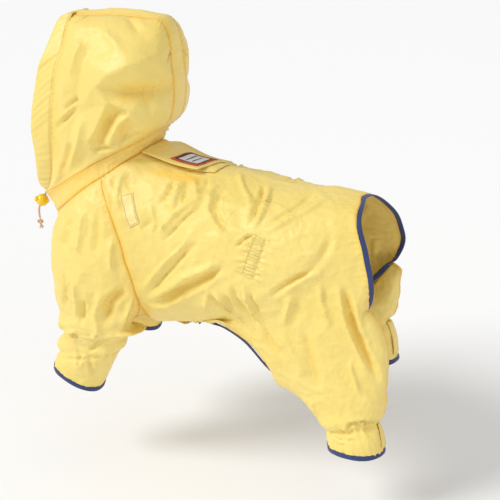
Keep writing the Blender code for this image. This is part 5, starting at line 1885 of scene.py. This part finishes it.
@dataclass
class DrawCord:
    """The drawcord's free end: cord, ball lock and knot."""

    line: Table = (
        (-270.9, -6.2, -45.6), (-273.4, -7.4, -49.6), (-275.4, -8.5, -54), (-279.4, -9, -61.5),
        (-283.4, -9.5, -69), (-284.6, -9.7, -74), (-284.8, -9.8, -80), (-284.2, -9.8, -86),
    )  # fmt: skip
    radius: float = 1.4
    lock_radius: float = 8.0
    bore: float = 1.75
    # Chamfer at the bore's mouths, and how deep the heads' shafts go into the ball.
    mouth: float = 0.8
    shaft: float = 2.4
    # Heads of the plunger: the way out of the ball, radius and height.
    heads: tuple = (((-0.62, -0.72, 0.3), 3.6, 2.0), ((0.62, 0.72, -0.3), 3.0, 0.7))
    knot_radius: float = 3.6
    strands: int = 16
    strand_radius: float = 0.26

    def path(self) -> np.ndarray:
        """Points along the cord in millimetres."""
        return along(self.line, np.linspace(0, 1, 90))

    def tube(self, path: np.ndarray, radius: float, around: int, twist: float = 0.0) -> np.ndarray:
        """Rings round a path, closed round and along, with a laid or braided relief.

        Args:
            path: Points of the centreline.
            radius: Radius of the tube.
            around: Points round it.
            twist: Height of its strands, as a share of the radius.

        Returns:
            A grid of points.
        """
        tangent = unit(np.gradient(path, axis=0))
        up = np.array((0.0, 1.0, 0.0))
        frames = []
        for way in tangent:
            up = unit(up - way * (up @ way))
            frames.append((up, np.cross(way, up)))
        turn = np.linspace(0, 2 * np.pi, around + 1)
        rings = []
        for point, (a, b), s in zip(path, frames, run_of(path)):
            cross = np.sin(4 * turn + 2.1 * s) * np.sin(4 * turn - 2.1 * s)
            size = radius * (1 - twist * (0.5 + 0.5 * cross))
            x, y = (np.cos(turn) * size)[:, None], (np.sin(turn) * size)[:, None]
            rings.append(point + a * x + b * y)
        return np.array(rings)

    def tube_mesh(self, name: str, grid: np.ndarray) -> bpy.types.Mesh:
        """A closed mesh of a tube's rings."""
        centre = grid.mean(1, keepdims=True)
        if (normals_of(grid) * (grid - centre)).sum() < 0:
            grid = grid[:, ::-1]
        mesh = grid_mesh(name, grid, flat_places(grid), weld=True)
        bm = bmesh.new()
        bm.from_mesh(mesh)
        bmesh.ops.holes_fill(bm, edges=[e for e in bm.edges if e.is_boundary], sides=0)
        bmesh.ops.recalc_face_normals(bm, faces=bm.faces)
        bm.to_mesh(mesh)
        bm.free()
        mesh.shade_smooth()
        return mesh

    def build_cord(self, look: bpy.types.Material) -> bpy.types.Object:
        """The cord itself."""
        mesh = self.tube_mesh("drawcord", self.tube(self.path(), self.radius, 20, 0.16))
        return add_piece("drawcord_line", mesh, look, ("drawcord",))

    def build_lock(self, look: bpy.types.Material) -> bpy.types.Object:
        """The ball lock, with its bore along the cord and the head of its plunger."""
        bm = bmesh.new()
        start = np.arccos(self.bore / self.lock_radius)
        angle = np.linspace(-start, start, 25)
        outer = [(self.lock_radius * np.cos(a), self.lock_radius * np.sin(a)) for a in angle]
        top = outer[-1][1] - self.mouth
        profile = [*outer, (self.bore, top), (self.bore, 0.0), (self.bore, -top)]
        verts = [bm.verts.new((r * MM, 0, h * MM)) for r, h in profile]
        edges = [bm.edges.new((verts[i], verts[(i + 1) % len(verts)])) for i in range(len(verts))]
        bmesh.ops.spin(
            bm, geom=[*verts, *edges], cent=(0, 0, 0), axis=(0, 0, 1), angle=2 * np.pi,
            steps=36, use_merge=True,
        )  # fmt: skip
        bmesh.ops.remove_doubles(bm, verts=bm.verts, dist=WELD / 10)
        bmesh.ops.recalc_face_normals(bm, faces=bm.faces)
        way = Vector(unit(np.array(self.line[4], float) - self.line[2]))
        turn = Vector((0, 0, 1)).rotation_difference(way)
        bmesh.ops.rotate(bm, verts=bm.verts, cent=(0, 0, 0), matrix=turn.to_matrix())
        for out, radius, height in self.heads:
            self.add_head(bm, Vector(out).normalized(), radius, height)
        bmesh.ops.translate(bm, verts=bm.verts, vec=Vector(np.array(self.line[3]) * MM))
        mesh = mesh_from("cord_lock", bm)
        return add_piece("lock_ball", mesh, look, ("cord_lock",))

    def add_head(self, bm: bmesh.types.BMesh, out: Vector, radius: float, height: float) -> None:
        """Adds a round head that stands out of the ball this way."""
        made = bmesh.ops.create_cone(
            bm, cap_ends=True, segments=28, radius1=radius * MM, radius2=radius * 0.9 * MM,
            depth=(height + self.shaft) * MM,
        )["verts"]  # fmt: skip
        turn = Vector((0, 0, 1)).rotation_difference(out).to_matrix()
        bmesh.ops.rotate(bm, verts=made, cent=(0, 0, 0), matrix=turn)
        middle = out * (self.lock_radius + (height - self.shaft) / 2) * MM
        bmesh.ops.translate(bm, verts=made, vec=middle)
        rim = {e for v in made for e in v.link_edges if (v.co - middle).dot(out) > 0}
        rim = [e for e in rim if all((v.co - middle).dot(out) > 0 for v in e.verts)]
        bmesh.ops.bevel(
            bm, geom=rim, offset=0.5 * MM, segments=2, profile=0.5, affect="EDGES", material=-1
        )

    def build_knot(self, look: bpy.types.Material) -> bpy.types.Object:
        """The knot at the cord's end and the frayed strands under it."""
        way = unit(np.array(self.line[-1], float) - self.line[-2])
        centre = np.array(self.line[-1], float) + way * (self.knot_radius * 1.15 + 0.2)
        a = unit(np.cross(way, (0.3, 1, 0)))
        b = np.cross(way, a)
        t = np.linspace(0, 2 * np.pi, 100)
        size = self.knot_radius * 0.30
        x, y = size * (np.sin(t) + 2 * np.sin(2 * t)), size * (np.cos(t) - 2 * np.cos(2 * t))
        loop = centre + a * x[:, None] + b * y[:, None] * 0.9 - way * (1.7 * np.sin(3 * t))[:, None]
        grids = [self.tube(loop, self.radius * 0.86, 14, 0.14)]
        random = np.random.default_rng(8)
        s = np.linspace(0, 1, 9)[:, None]
        for i in range(self.strands):
            turn, lean = 2.4 * i, 0.5 + 0.9 * random.random()
            out = a * np.cos(turn) + b * np.sin(turn)
            length = 5.0 + 2.5 * random.random()
            start = centre + way * 2.4 + out * 0.7
            strand = start + way * length * s + out * lean * s**1.6 * 1.6
            strand += np.cross(way, out) * 0.5 * np.sin(5 * s + i)
            grids.append(self.tube(strand, self.strand_radius, 6))
        bm = bmesh.new()
        for grid in grids:
            part = self.tube_mesh("strand", grid)
            bm.from_mesh(part)
            bpy.data.meshes.remove(part)
        mesh = mesh_from("cord_knot", bm)
        return add_piece("knot_and_fray", mesh, look, ("cord_knot",))

    def build(self, cord_look: bpy.types.Material, plastic: bpy.types.Material) -> None:
        cord = self.build_cord(cord_look)
        pieces = [self.build_lock(plastic), self.build_knot(cord_look)]
        path = self.path()


# ------------------------------------------------------------------------------------- finishes


class Nodes:
    """Short ways to place and link shader nodes in one tree."""

    def __init__(self, tree: bpy.types.NodeTree) -> None:
        """Takes the tree to build in."""
        self.tree = tree

    def add(self, kind: str, **settings) -> bpy.types.Node:
        """Adds a node with these settings."""
        node = self.tree.nodes.new(kind)
        for key, value in settings.items():
            setattr(node, key, value)
        return node

    def put(self, socket: bpy.types.NodeSocket, value) -> None:
        """Links an output to a socket, or sets the socket's own value."""
        if isinstance(value, bpy.types.NodeSocket):
            self.tree.links.new(value, socket)
        else:
            socket.default_value = value

    def math(self, operation: str, a, b=0.0) -> bpy.types.NodeSocket:
        """The result of one sum."""
        node = self.add("ShaderNodeMath", operation=operation)
        self.put(node.inputs[0], a)
        self.put(node.inputs[1], b)
        return node.outputs[0]

    def mix(self, share, a, b) -> bpy.types.NodeSocket:
        """A mix of two colours."""
        node = self.add("ShaderNodeMix", data_type="RGBA")
        self.put(node.inputs["Factor"], share)
        self.put(node.inputs[6], a)
        self.put(node.inputs[7], b)
        return node.outputs[2]

    def place(self, kind: str) -> bpy.types.NodeSocket:
        """The place on the surface, in the map of this kind."""
        return self.add("ShaderNodeTexCoord").outputs[kind]

    def parts(self, vector: bpy.types.NodeSocket) -> tuple[bpy.types.NodeSocket, ...]:
        """The vector's first two parts."""
        node = self.add("ShaderNodeSeparateXYZ")
        self.put(node.inputs[0], vector)
        return node.outputs[0], node.outputs[1]

    def scaled(self, vector: bpy.types.NodeSocket, factor) -> bpy.types.NodeSocket:
        """The vector at another scale."""
        node = self.add("ShaderNodeVectorMath", operation="SCALE")
        self.put(node.inputs[0], vector)
        self.put(node.inputs["Scale"], factor)
        return node.outputs[0]

    def noise(self, vector, scale: float, detail: float) -> bpy.types.NodeSocket:
        """A noise texture's value."""
        node = self.add("ShaderNodeTexNoise")
        self.put(node.inputs["Vector"], vector)
        node.inputs["Scale"].default_value = scale
        node.inputs["Detail"].default_value = detail
        node.inputs["Roughness"].default_value = 0.5
        return node.outputs["Fac"]

    def ramp(self, value, low: float, high: float) -> bpy.types.NodeSocket:
        """The value from 0 at `low` to 1 at `high`, smoothly."""
        node = self.add("ShaderNodeMapRange", interpolation_type="SMOOTHSTEP")
        self.put(node.inputs["Value"], value)
        node.inputs["From Min"].default_value = low
        node.inputs["From Max"].default_value = high
        return node.outputs["Result"]


class Groups:
    """Node groups that several finishes share."""

    @staticmethod
    def start(name: str, inputs: dict[str, float], outputs: tuple[str, ...] = ("Height",)):
        """Makes an empty group, or finds it if it is there.

        Args:
            name: The group's name.
            inputs: Its number sockets with their values.
            outputs: Its number outputs.

        Returns:
            The group, its Nodes or None if it is already made, and its input and output nodes.
        """
        if name in bpy.data.node_groups:
            return bpy.data.node_groups[name], None, None, None
        group = bpy.data.node_groups.new(name, "ShaderNodeTree")
        for key, value in inputs.items():
            socket = group.interface.new_socket(key, in_out="INPUT", socket_type="NodeSocketFloat")
            socket.default_value = value
        for key in outputs:
            group.interface.new_socket(key, in_out="OUTPUT", socket_type="NodeSocketFloat")
        nodes = Nodes(group)
        return group, nodes, nodes.add("NodeGroupInput"), nodes.add("NodeGroupOutput")

    @classmethod
    def weave(cls) -> bpy.types.NodeTree:
        """A plain weave's height from the cloth's own lengths."""
        group, n, given, out = cls.start("plain weave", {"Threads": 2400.0})
        if n is None:
            return group
        turns = n.math("MULTIPLY", given.outputs["Threads"], np.pi)
        a, b = (n.math("SINE", n.math("MULTIPLY", part, turns)) for part in n.parts(n.place("UV")))
        n.put(out.inputs["Height"], n.math("MULTIPLY_ADD", n.math("MULTIPLY", a, b), 0.5))
        return group

    @classmethod
    def creases(cls) -> bpy.types.NodeTree:
        """Sharp little wrinkles, fine and finer."""
        group, n, given, out = cls.start("fine creases", {"Scale": 60.0})
        if n is None:
            return group
        place = n.place("Object")
        total = None
        for factor, share in ((1.0, 1.0), (2.3, 0.45)):
            scaled = n.scaled(place, n.math("MULTIPLY", given.outputs["Scale"], factor))
            fold = n.math("ABSOLUTE", n.math("SUBTRACT", n.noise(scaled, 1.0, 2.0), 0.5))
            fold = n.math("MULTIPLY", n.math("MINIMUM", n.math("MULTIPLY", fold, 5.0), 1.0), share)
            total = fold if total is None else n.math("ADD", total, fold)
        n.put(out.inputs["Height"], total)
        return group

    @classmethod
    def shirring(cls) -> bpy.types.NodeTree:
        """Puckers between two stitch lines, from the places in the "gathers" map."""
        group, n, given, out = cls.start("shirring", {"Pitch": 0.004})
        if n is None:
            return group
        across, run = n.parts(n.add("ShaderNodeUVMap", uv_map="gathers").outputs["UV"])
        across = n.math("ABSOLUTE", across)
        uneven = n.noise(n.place("Object"), 130.0, 1.0)
        turns = n.math("ADD", n.math("DIVIDE", run, given.outputs["Pitch"]), uneven)
        fine = n.math("SINE", n.math("MULTIPLY", turns, 2 * np.pi))
        wide = n.math("SINE", n.math("MULTIPLY", turns, 1.13 * np.pi))
        fine = n.math("MULTIPLY", fine, n.math("SUBTRACT", 1.0, n.ramp(across, 0.004, 0.010)))
        flank = n.math("SUBTRACT", 1.0, n.ramp(across, 0.009, 0.022))
        wide = n.math("MULTIPLY", wide, n.math("MULTIPLY", flank, n.ramp(across, 0.005, 0.009)))
        total = n.math("ADD", fine, wide)
        groove = n.math("ABSOLUTE", n.math("SUBTRACT", across, 0.006))
        total = n.math("ADD", total, n.math("MULTIPLY", n.ramp(groove, 0.0, 0.0012), 0.9))
        ends = n.math("SUBTRACT", n.ramp(run, -0.002, 0.004), n.ramp(run, 0.048, 0.055))
        n.put(out.inputs["Height"], n.math("MULTIPLY", total, ends))
        return group

    @classmethod
    def tone(cls) -> bpy.types.NodeTree:
        """A soft uneven mask over the whole coat, and a finer one."""
        group, n, given, out = cls.start("uneven tone", {"Scale": 9.0}, ("Broad", "Fine"))
        if n is None:
            return group
        scaled = n.scaled(n.place("Object"), given.outputs["Scale"])
        n.put(out.inputs["Broad"], n.ramp(n.noise(scaled, 1.0, 2.0), 0.3, 0.7))
        n.put(out.inputs["Fine"], n.ramp(n.noise(scaled, 14.0, 4.0), 0.3, 0.7))
        return group


@dataclass(frozen=True)
class Finish:
    """A finish: colours, gloss and the relief of its surface."""

    name: str
    # The colour, and a deeper one that it is mixed with unevenly.
    colour: Row
    deep: Row
    roughness: float
    # Threads in a metre, relief in millimetres, and the creases' fineness.
    threads: float = 0.0
    weave_height: float = 0.03
    crease_height: float = 0.0
    crease_scale: float = 60.0
    sheen: float = 0.0
    coat: float = 0.0
    # The warm colour painted as shade deep in folds and seams, and the greatest share of it.
    hollow: Row | None = None
    warmth: float = 0.75

    def material(self) -> bpy.types.Material:
        """Makes the material."""
        made = bpy.data.materials.new(self.name)
        made.use_nodes = True
        tree = made.node_tree
        n = Nodes(tree)
        shader = tree.nodes["Principled BSDF"]
        shader.inputs["Sheen Weight"].default_value = self.sheen
        shader.inputs["Sheen Roughness"].default_value = 0.5
        shader.inputs["Coat Weight"].default_value = self.coat
        shader.inputs["Coat Roughness"].default_value = 0.12
        tone = n.add("ShaderNodeGroup", node_tree=Groups.tone())
        n.put(shader.inputs["Base Color"], self.colours(n, tone))
        low, high = self.roughness - 0.04, self.roughness + 0.05
        spread = n.math("MULTIPLY_ADD", tone.outputs["Fine"], high - low)
        spread.node.inputs[2].default_value = low
        n.put(shader.inputs["Roughness"], spread)
        normal = None
        for group, key, value, height in self.reliefs():
            if not height:
                continue
            relief = n.add("ShaderNodeGroup", node_tree=group)
            relief.inputs[key].default_value = value
            bump = n.add("ShaderNodeBump")
            bump.inputs["Distance"].default_value = height * MM
            n.put(bump.inputs["Height"], relief.outputs["Height"])
            if normal is not None:
                n.put(bump.inputs["Normal"], normal)
            normal = bump.outputs["Normal"]
        if normal is not None:
            n.put(shader.inputs["Normal"], normal)
        return made

    def reliefs(self) -> list[tuple]:
        """Node groups of the surface's relief: group, its input, the value, height in mm."""
        return [
            (Groups.creases(), "Scale", self.crease_scale, self.crease_height),
            (Groups.weave(), "Threads", self.threads, self.weave_height if self.threads else 0),
        ]

    def colours(self, n: Nodes, tone: bpy.types.Node) -> bpy.types.NodeSocket:
        """The colour over the surface, with warm shade painted in hollows and seams."""
        plain = n.mix(tone.outputs["Broad"], (*self.colour, 1), (*self.deep, 1))
        if self.hollow is None:
            return plain
        # The mesh attribute tells how much warm shade is painted on each point.
        warm = n.add("ShaderNodeAttribute", attribute_name="warm").outputs["Fac"]
        return n.mix(n.math("MULTIPLY", warm, self.warmth), plain, (*self.hollow, 1))


@dataclass(frozen=True)
class ShirredFinish(Finish):
    """The coat's cloth with the small puckers between its two elastic stitch lines."""

    pucker_height: float = 0.5

    def reliefs(self) -> list[tuple]:
        """The cloth's relief and the puckers."""
        return [*super().reliefs(), (Groups.shirring(), "Pitch", 0.0039, self.pucker_height)]


@dataclass(frozen=True)
class LabelFinish(Finish):
    """The woven label: nested frames round a plain field."""

    frame: Row = (0.012, 0.008, 0.008)
    white: Row = (0.8, 0.79, 0.8)
    grey: Row = (0.66, 0.65, 0.68)
    # Shares of the label from its middle: where the dark frame and the field end, and the bars'
    # place, half width and half length.
    dark_to: float = 0.40
    field_to: float = 0.325
    bar_at: float = 0.11
    bar_half: float = 0.028
    bar_long: float = 0.24

    def colours(self, n: Nodes, tone: bpy.types.Node) -> bpy.types.NodeSocket:
        """Red rim, dark frame, and a pale field with two dark bars."""
        away = (n.math("SUBTRACT", part, 0.5) for part in n.parts(n.place("UV")))
        x, y = (n.math("ABSOLUTE", part) for part in away)
        rim = n.math("MAXIMUM", x, n.math("MULTIPLY", y, 0.94))
        fine, frame = tone.outputs["Fine"], (*self.frame, 1)
        colour = n.mix(fine, (*self.colour, 1), (*self.deep, 1))
        colour = n.mix(n.math("LESS_THAN", rim, self.dark_to), colour, frame)
        white = n.mix(fine, (*self.white, 1), (*self.grey, 1))
        gap = n.math("ABSOLUTE", n.math("SUBTRACT", y, self.bar_at))
        bars = n.math("LESS_THAN", gap, self.bar_half)
        bars = n.math("MULTIPLY", bars, n.math("LESS_THAN", x, self.bar_long))
        return n.mix(n.math("LESS_THAN", rim, self.field_to), colour, n.mix(bars, white, frame))


# The third colour is the warm shade painted in hollows and seams.
WOVEN = {
    "colour": (0.905, 0.71, 0.21), "deep": (0.885, 0.685, 0.18), "hollow": (0.95, 0.57, 0.07),
    "roughness": 0.4, "sheen": 0.02, "threads": 2200.0, "weave_height": 0.05,
    "crease_height": 0.35, "crease_scale": 55.0,
}  # fmt: skip


@dataclass(frozen=True)
class Finishes:
    """Every finish of the coat."""

    nylon: Finish = Finish("yellow woven nylon", **WOVEN)
    shirred: ShirredFinish = ShirredFinish("yellow woven nylon with gathers", **WOVEN)
    navy: Finish = Finish(
        "navy binding tape", (0.022, 0.045, 0.17), (0.014, 0.03, 0.12), 0.62,
        threads=1500.0, weave_height=0.08, sheen=0.25,
    )  # fmt: skip
    thread: Finish = Finish(
        "yellow sewing thread", (0.9, 0.66, 0.2), (0.86, 0.6, 0.16), 0.5, sheen=0.1
    )
    navy_thread: Finish = Finish(
        "navy sewing thread", (0.02, 0.04, 0.15), (0.03, 0.05, 0.18), 0.5, sheen=0.2
    )
    red_thread: Finish = Finish(
        "red sewing thread", (0.55, 0.09, 0.03), (0.45, 0.06, 0.02), 0.5, sheen=0.2
    )
    olive_thread: Finish = Finish(
        "olive sewing thread", (0.62, 0.42, 0.1), (0.56, 0.38, 0.09), 0.5, sheen=0.1
    )
    patch: Finish = Finish(
        "pale woven patch", (0.93, 0.76, 0.3), (0.92, 0.74, 0.27), 0.42,
        threads=1700.0, weave_height=0.05, crease_height=0.15,
    )  # fmt: skip
    cord: Finish = Finish(
        "beige braided cord", (0.74, 0.52, 0.36), (0.62, 0.4, 0.26), 0.75,
        threads=2600.0, weave_height=0.1, sheen=0.3,
    )  # fmt: skip
    plastic: Finish = Finish(
        "bright yellow plastic", (0.93, 0.68, 0.02), (0.9, 0.62, 0.01), 0.22, coat=0.4,
        crease_height=0.02, crease_scale=300.0,
    )  # fmt: skip
    label: LabelFinish = LabelFinish(
        "red woven label", (0.62, 0.115, 0.05), (0.5, 0.08, 0.035), 0.62,
        threads=70.0, weave_height=0.12,
    )  # fmt: skip


# --------------------------------------------------------------------------------------- studio


@dataclass(frozen=True)
class Studio:
    """Camera, plain pale floor and soft lights."""

    distance: float = 1.353
    azimuth: float = 21.5
    elevation: float = 20.0
    angle: float = 25.0
    target: Row = (0.0, 0.0, -0.095)
    floor_z: float = -0.385
    floor_size: float = 14.0

    def add_camera(self) -> None:
        """Adds the camera and makes it the scene's."""
        data = bpy.data.cameras.new("camera")
        data.lens_unit, data.angle = "FOV", float(np.radians(self.angle))
        turn, rise = np.radians(self.azimuth), np.radians(self.elevation)
        way = Vector((np.sin(turn) * np.cos(rise), -np.cos(turn) * np.cos(rise), np.sin(rise)))
        camera = add_object("camera", data)
        self.aim(camera, Vector(self.target) + way * self.distance, -way)
        bpy.context.scene.camera = camera

    def aim(self, thing: bpy.types.Object, place: Vector, way: Vector) -> None:
        """Puts the camera or a light here and points it this way."""
        thing.location = place
        thing.rotation_euler = way.to_track_quat("-Z", "Y").to_euler()

    def add_light(self, name: str, place: Row, size: float, power: float) -> None:
        """Adds a square soft light that points at the coat."""
        data = bpy.data.lights.new(name, "AREA")
        data.shape, data.size, data.energy = "SQUARE", size, power
        self.aim(add_object(name, data), Vector(place), Vector(self.target) - Vector(place))

    def add_sun(self, name: str, toward: Row, spread: float, strength: float) -> None:
        """Adds an even, soft light that comes from this way."""
        data = bpy.data.lights.new(name, "SUN")
        data.angle, data.energy = float(np.radians(spread)), strength
        self.aim(add_object(name, data), Vector(toward), -Vector(toward))

    def add_floor(self) -> None:
        """Adds the floor."""
        bm = bmesh.new()
        bmesh.ops.create_grid(bm, x_segments=1, y_segments=1, size=self.floor_size)
        bmesh.ops.translate(bm, verts=bm.verts, vec=(0, 0, self.floor_z))
        mesh = mesh_from("floor", bm)
        floor = add_object("floor", mesh)
        look = bpy.data.materials.new("pale floor")
        look.use_nodes = True
        shader = look.node_tree.nodes["Principled BSDF"]
        shader.inputs["Base Color"].default_value = (0.97, 0.97, 0.97, 1)
        shader.inputs["Roughness"].default_value = 0.9
        mesh.materials.append(look)

    def light_scene(self) -> None:
        """Adds the lights and the pale surroundings."""
        scene = bpy.context.scene
        scene.view_settings.view_transform = "Standard"
        world = bpy.data.worlds.new("studio")
        world.use_nodes = True
        sky = world.node_tree.nodes["Background"]
        sky.inputs["Color"].default_value = (1.0, 1.0, 1.0, 1)
        sky.inputs["Strength"].default_value = 0.6
        scene.world = world
        self.add_sun("key light", (-1.05, -0.95, 1.3), 24.0, 1.8)
        self.add_light("fill light", (1.7, -1.3, 0.9), 1.6, 4)
        self.add_floor()


# ------------------------------------------------------------------------------------------ coat


@dataclass
class Raincoat:
    """The whole coat."""

    finishes: Finishes = Finishes()
    pucker: Pucker = Pucker()
    crumple: Crumple = Crumple()

    def __post_init__(self) -> None:
        """Cuts the pattern, makes the materials and starts the thread."""
        self.pattern = CoatPattern()
        self.nylon = self.finishes.nylon.material()
        self.navy = self.finishes.navy.material()
        self.thread, self.navy_thread = Stitching(), Stitching(pitch=3.0)
        self.red_thread = Stitching(pitch=2.4, length=1.8, radius=0.26)
        self.patch_thread = Stitching(pitch=2.2, length=1.9, radius=0.32)

    def cut_panels(self) -> list[ClothPanel]:
        """Every main panel, before it is draped."""
        # Shadow painted on the back under the flap's near edge and beside its tab.
        flap = ((-122, -45, 2), (-48, -43, -2), 6.0), ((-34, -30, -1), (-30, 16, 1), 4.0)
        kinds = {
            "back_body": {"shades": flap},
            "chest_panel": {},
            "hood_gusset": {"crumpled": 0.5},
            # The neck band gets some warm shade painted all over.
            "neck_band": {"closed": True, "warmth": 0.35},
        }
        for side in Side:
            kinds[f"hind_inner_{side.word}"] = {"held": Held.GATHERED}
            kinds[f"sleeve_{side.word}"] = {"held": Held.GATHERED}
            kinds[f"hood_side_{side.word}"] = {"crumpled": 0.4}
        cut = self.pattern.panels()
        return [ClothPanel(name, *cut[name], **kind) for name, kind in kinds.items()]

    def build_cord(self) -> None:
        """Makes the drawcord's free end."""
        DrawCord().build(self.finishes.cord.material(), self.finishes.plastic.material())

    def build_panels(self, drape: Drape) -> dict[str, ClothPanel]:
        """Drapes and makes the panels."""
        made = {}
        for panel in self.cut_panels():
            panel.drape(drape, self.pucker, self.crumple)
            look = self.nylon
            if panel.name == "back_body":
                panel.gathers = drape.waist.places(panel.grid, self.pattern.stance)
                look = self.finishes.shirred.material()
            panel.build(look)
            made[panel.name] = panel
        return made

    def sew_waist(self, drape: Drape, under: BVHTree) -> None:
        """Sews the stitch lines of the waist's gathers."""
        for side in Side:
            for line in drape.waist.lines(side, self.pattern.stance):
                found = [under.find_nearest(Vector(point)) for point in line]
                place, normal = (np.array([row[i] for row in found]) for i in (0, 1))
                self.thread.sew(place, normal)

    def sew_panels(self, panels: dict[str, ClothPanel]) -> None:
        """Sews beside the seams."""
        for side in Side:
            for name, lines in (
                ("sleeve", ({"column": 1}, {"column": -2})),
                ("hood_side", ({"row": 1}, {"row": -2}, {"column": -2})),
                ("hind_inner", ({"column": 1}, {"column": -2})),
            ):
                for line in lines:
                    self.thread.sew(*panels[f"{name}_{side.word}"].line(**line))
        for row in (1, -2):
            self.thread.sew(*panels["neck_band"].line(row=row))

    def build_bindings(self, drape: Drape) -> None:
        """Makes the tapes and the tabs over the hind slits."""
        p = self.pattern
        bindings = Bindings(p, drape, self.navy, self.navy_thread)
        bindings.build_opening("binding_opening")
        for side in Side:
            back, inner, sleeve = p.backs[side], p.inners[side], p.sleeves[side]
            ring, above = (np.concatenate([back[i], inner[i][::-1][1:-1]]) for i in (-1, -2))
            bindings.build_hem(f"binding_hind_{side.word}", ring, above)
            bindings.build_hem(f"binding_front_{side.word}", sleeve[-1, :-1], sleeve[-2, :-1])
            HemTab(side).build(p, drape, self.nylon, self.thread)

    def build(self) -> None:
        """Builds the coat, the cord first."""
        self.build_cord()
        drape = Drape(self.pattern)
        panels = self.build_panels(drape)
        Casing(self.pattern).build(drape, self.nylon, self.thread)
        self.sew_panels(panels)
        self.build_bindings(drape)
        back = tree_of([panels["back_body"].grid])
        looks = self.finishes
        woven = looks.label.material()
        self.sew_waist(drape, back)
        FLAP_TAB.build(FLAP_TAB.lay(back), self.nylon, self.thread)
        flap = FLAP.lay(back)
        FLAP.build(flap, self.nylon, self.thread)
        LABEL.build(LABEL.lay(tree_of([flap])), woven, self.red_thread)
        PATCH.build(PATCH.lay(back), looks.patch.material(), self.patch_thread)
        for thread, colour, finish, slot in (
            (self.thread, "yellow", looks.thread, Slot.NYLON),
            (self.navy_thread, "navy", looks.navy_thread, Slot.BINDING),
            (self.red_thread, "red", looks.red_thread, Slot.LABEL),
            (self.patch_thread, "olive", looks.olive_thread, Slot.NYLON),
        ):
            thread.build(f"stitches_{colour}", finish.material(), slot)


def main() -> None:
    """Builds the scene round the solids."""
    logging.basicConfig(level=logging.INFO, format="%(name)s: %(message)s")
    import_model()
    studio = Studio()
    studio.add_camera()
    Raincoat().build()
    studio.light_scene()


if __name__ == "__main__":
    main()
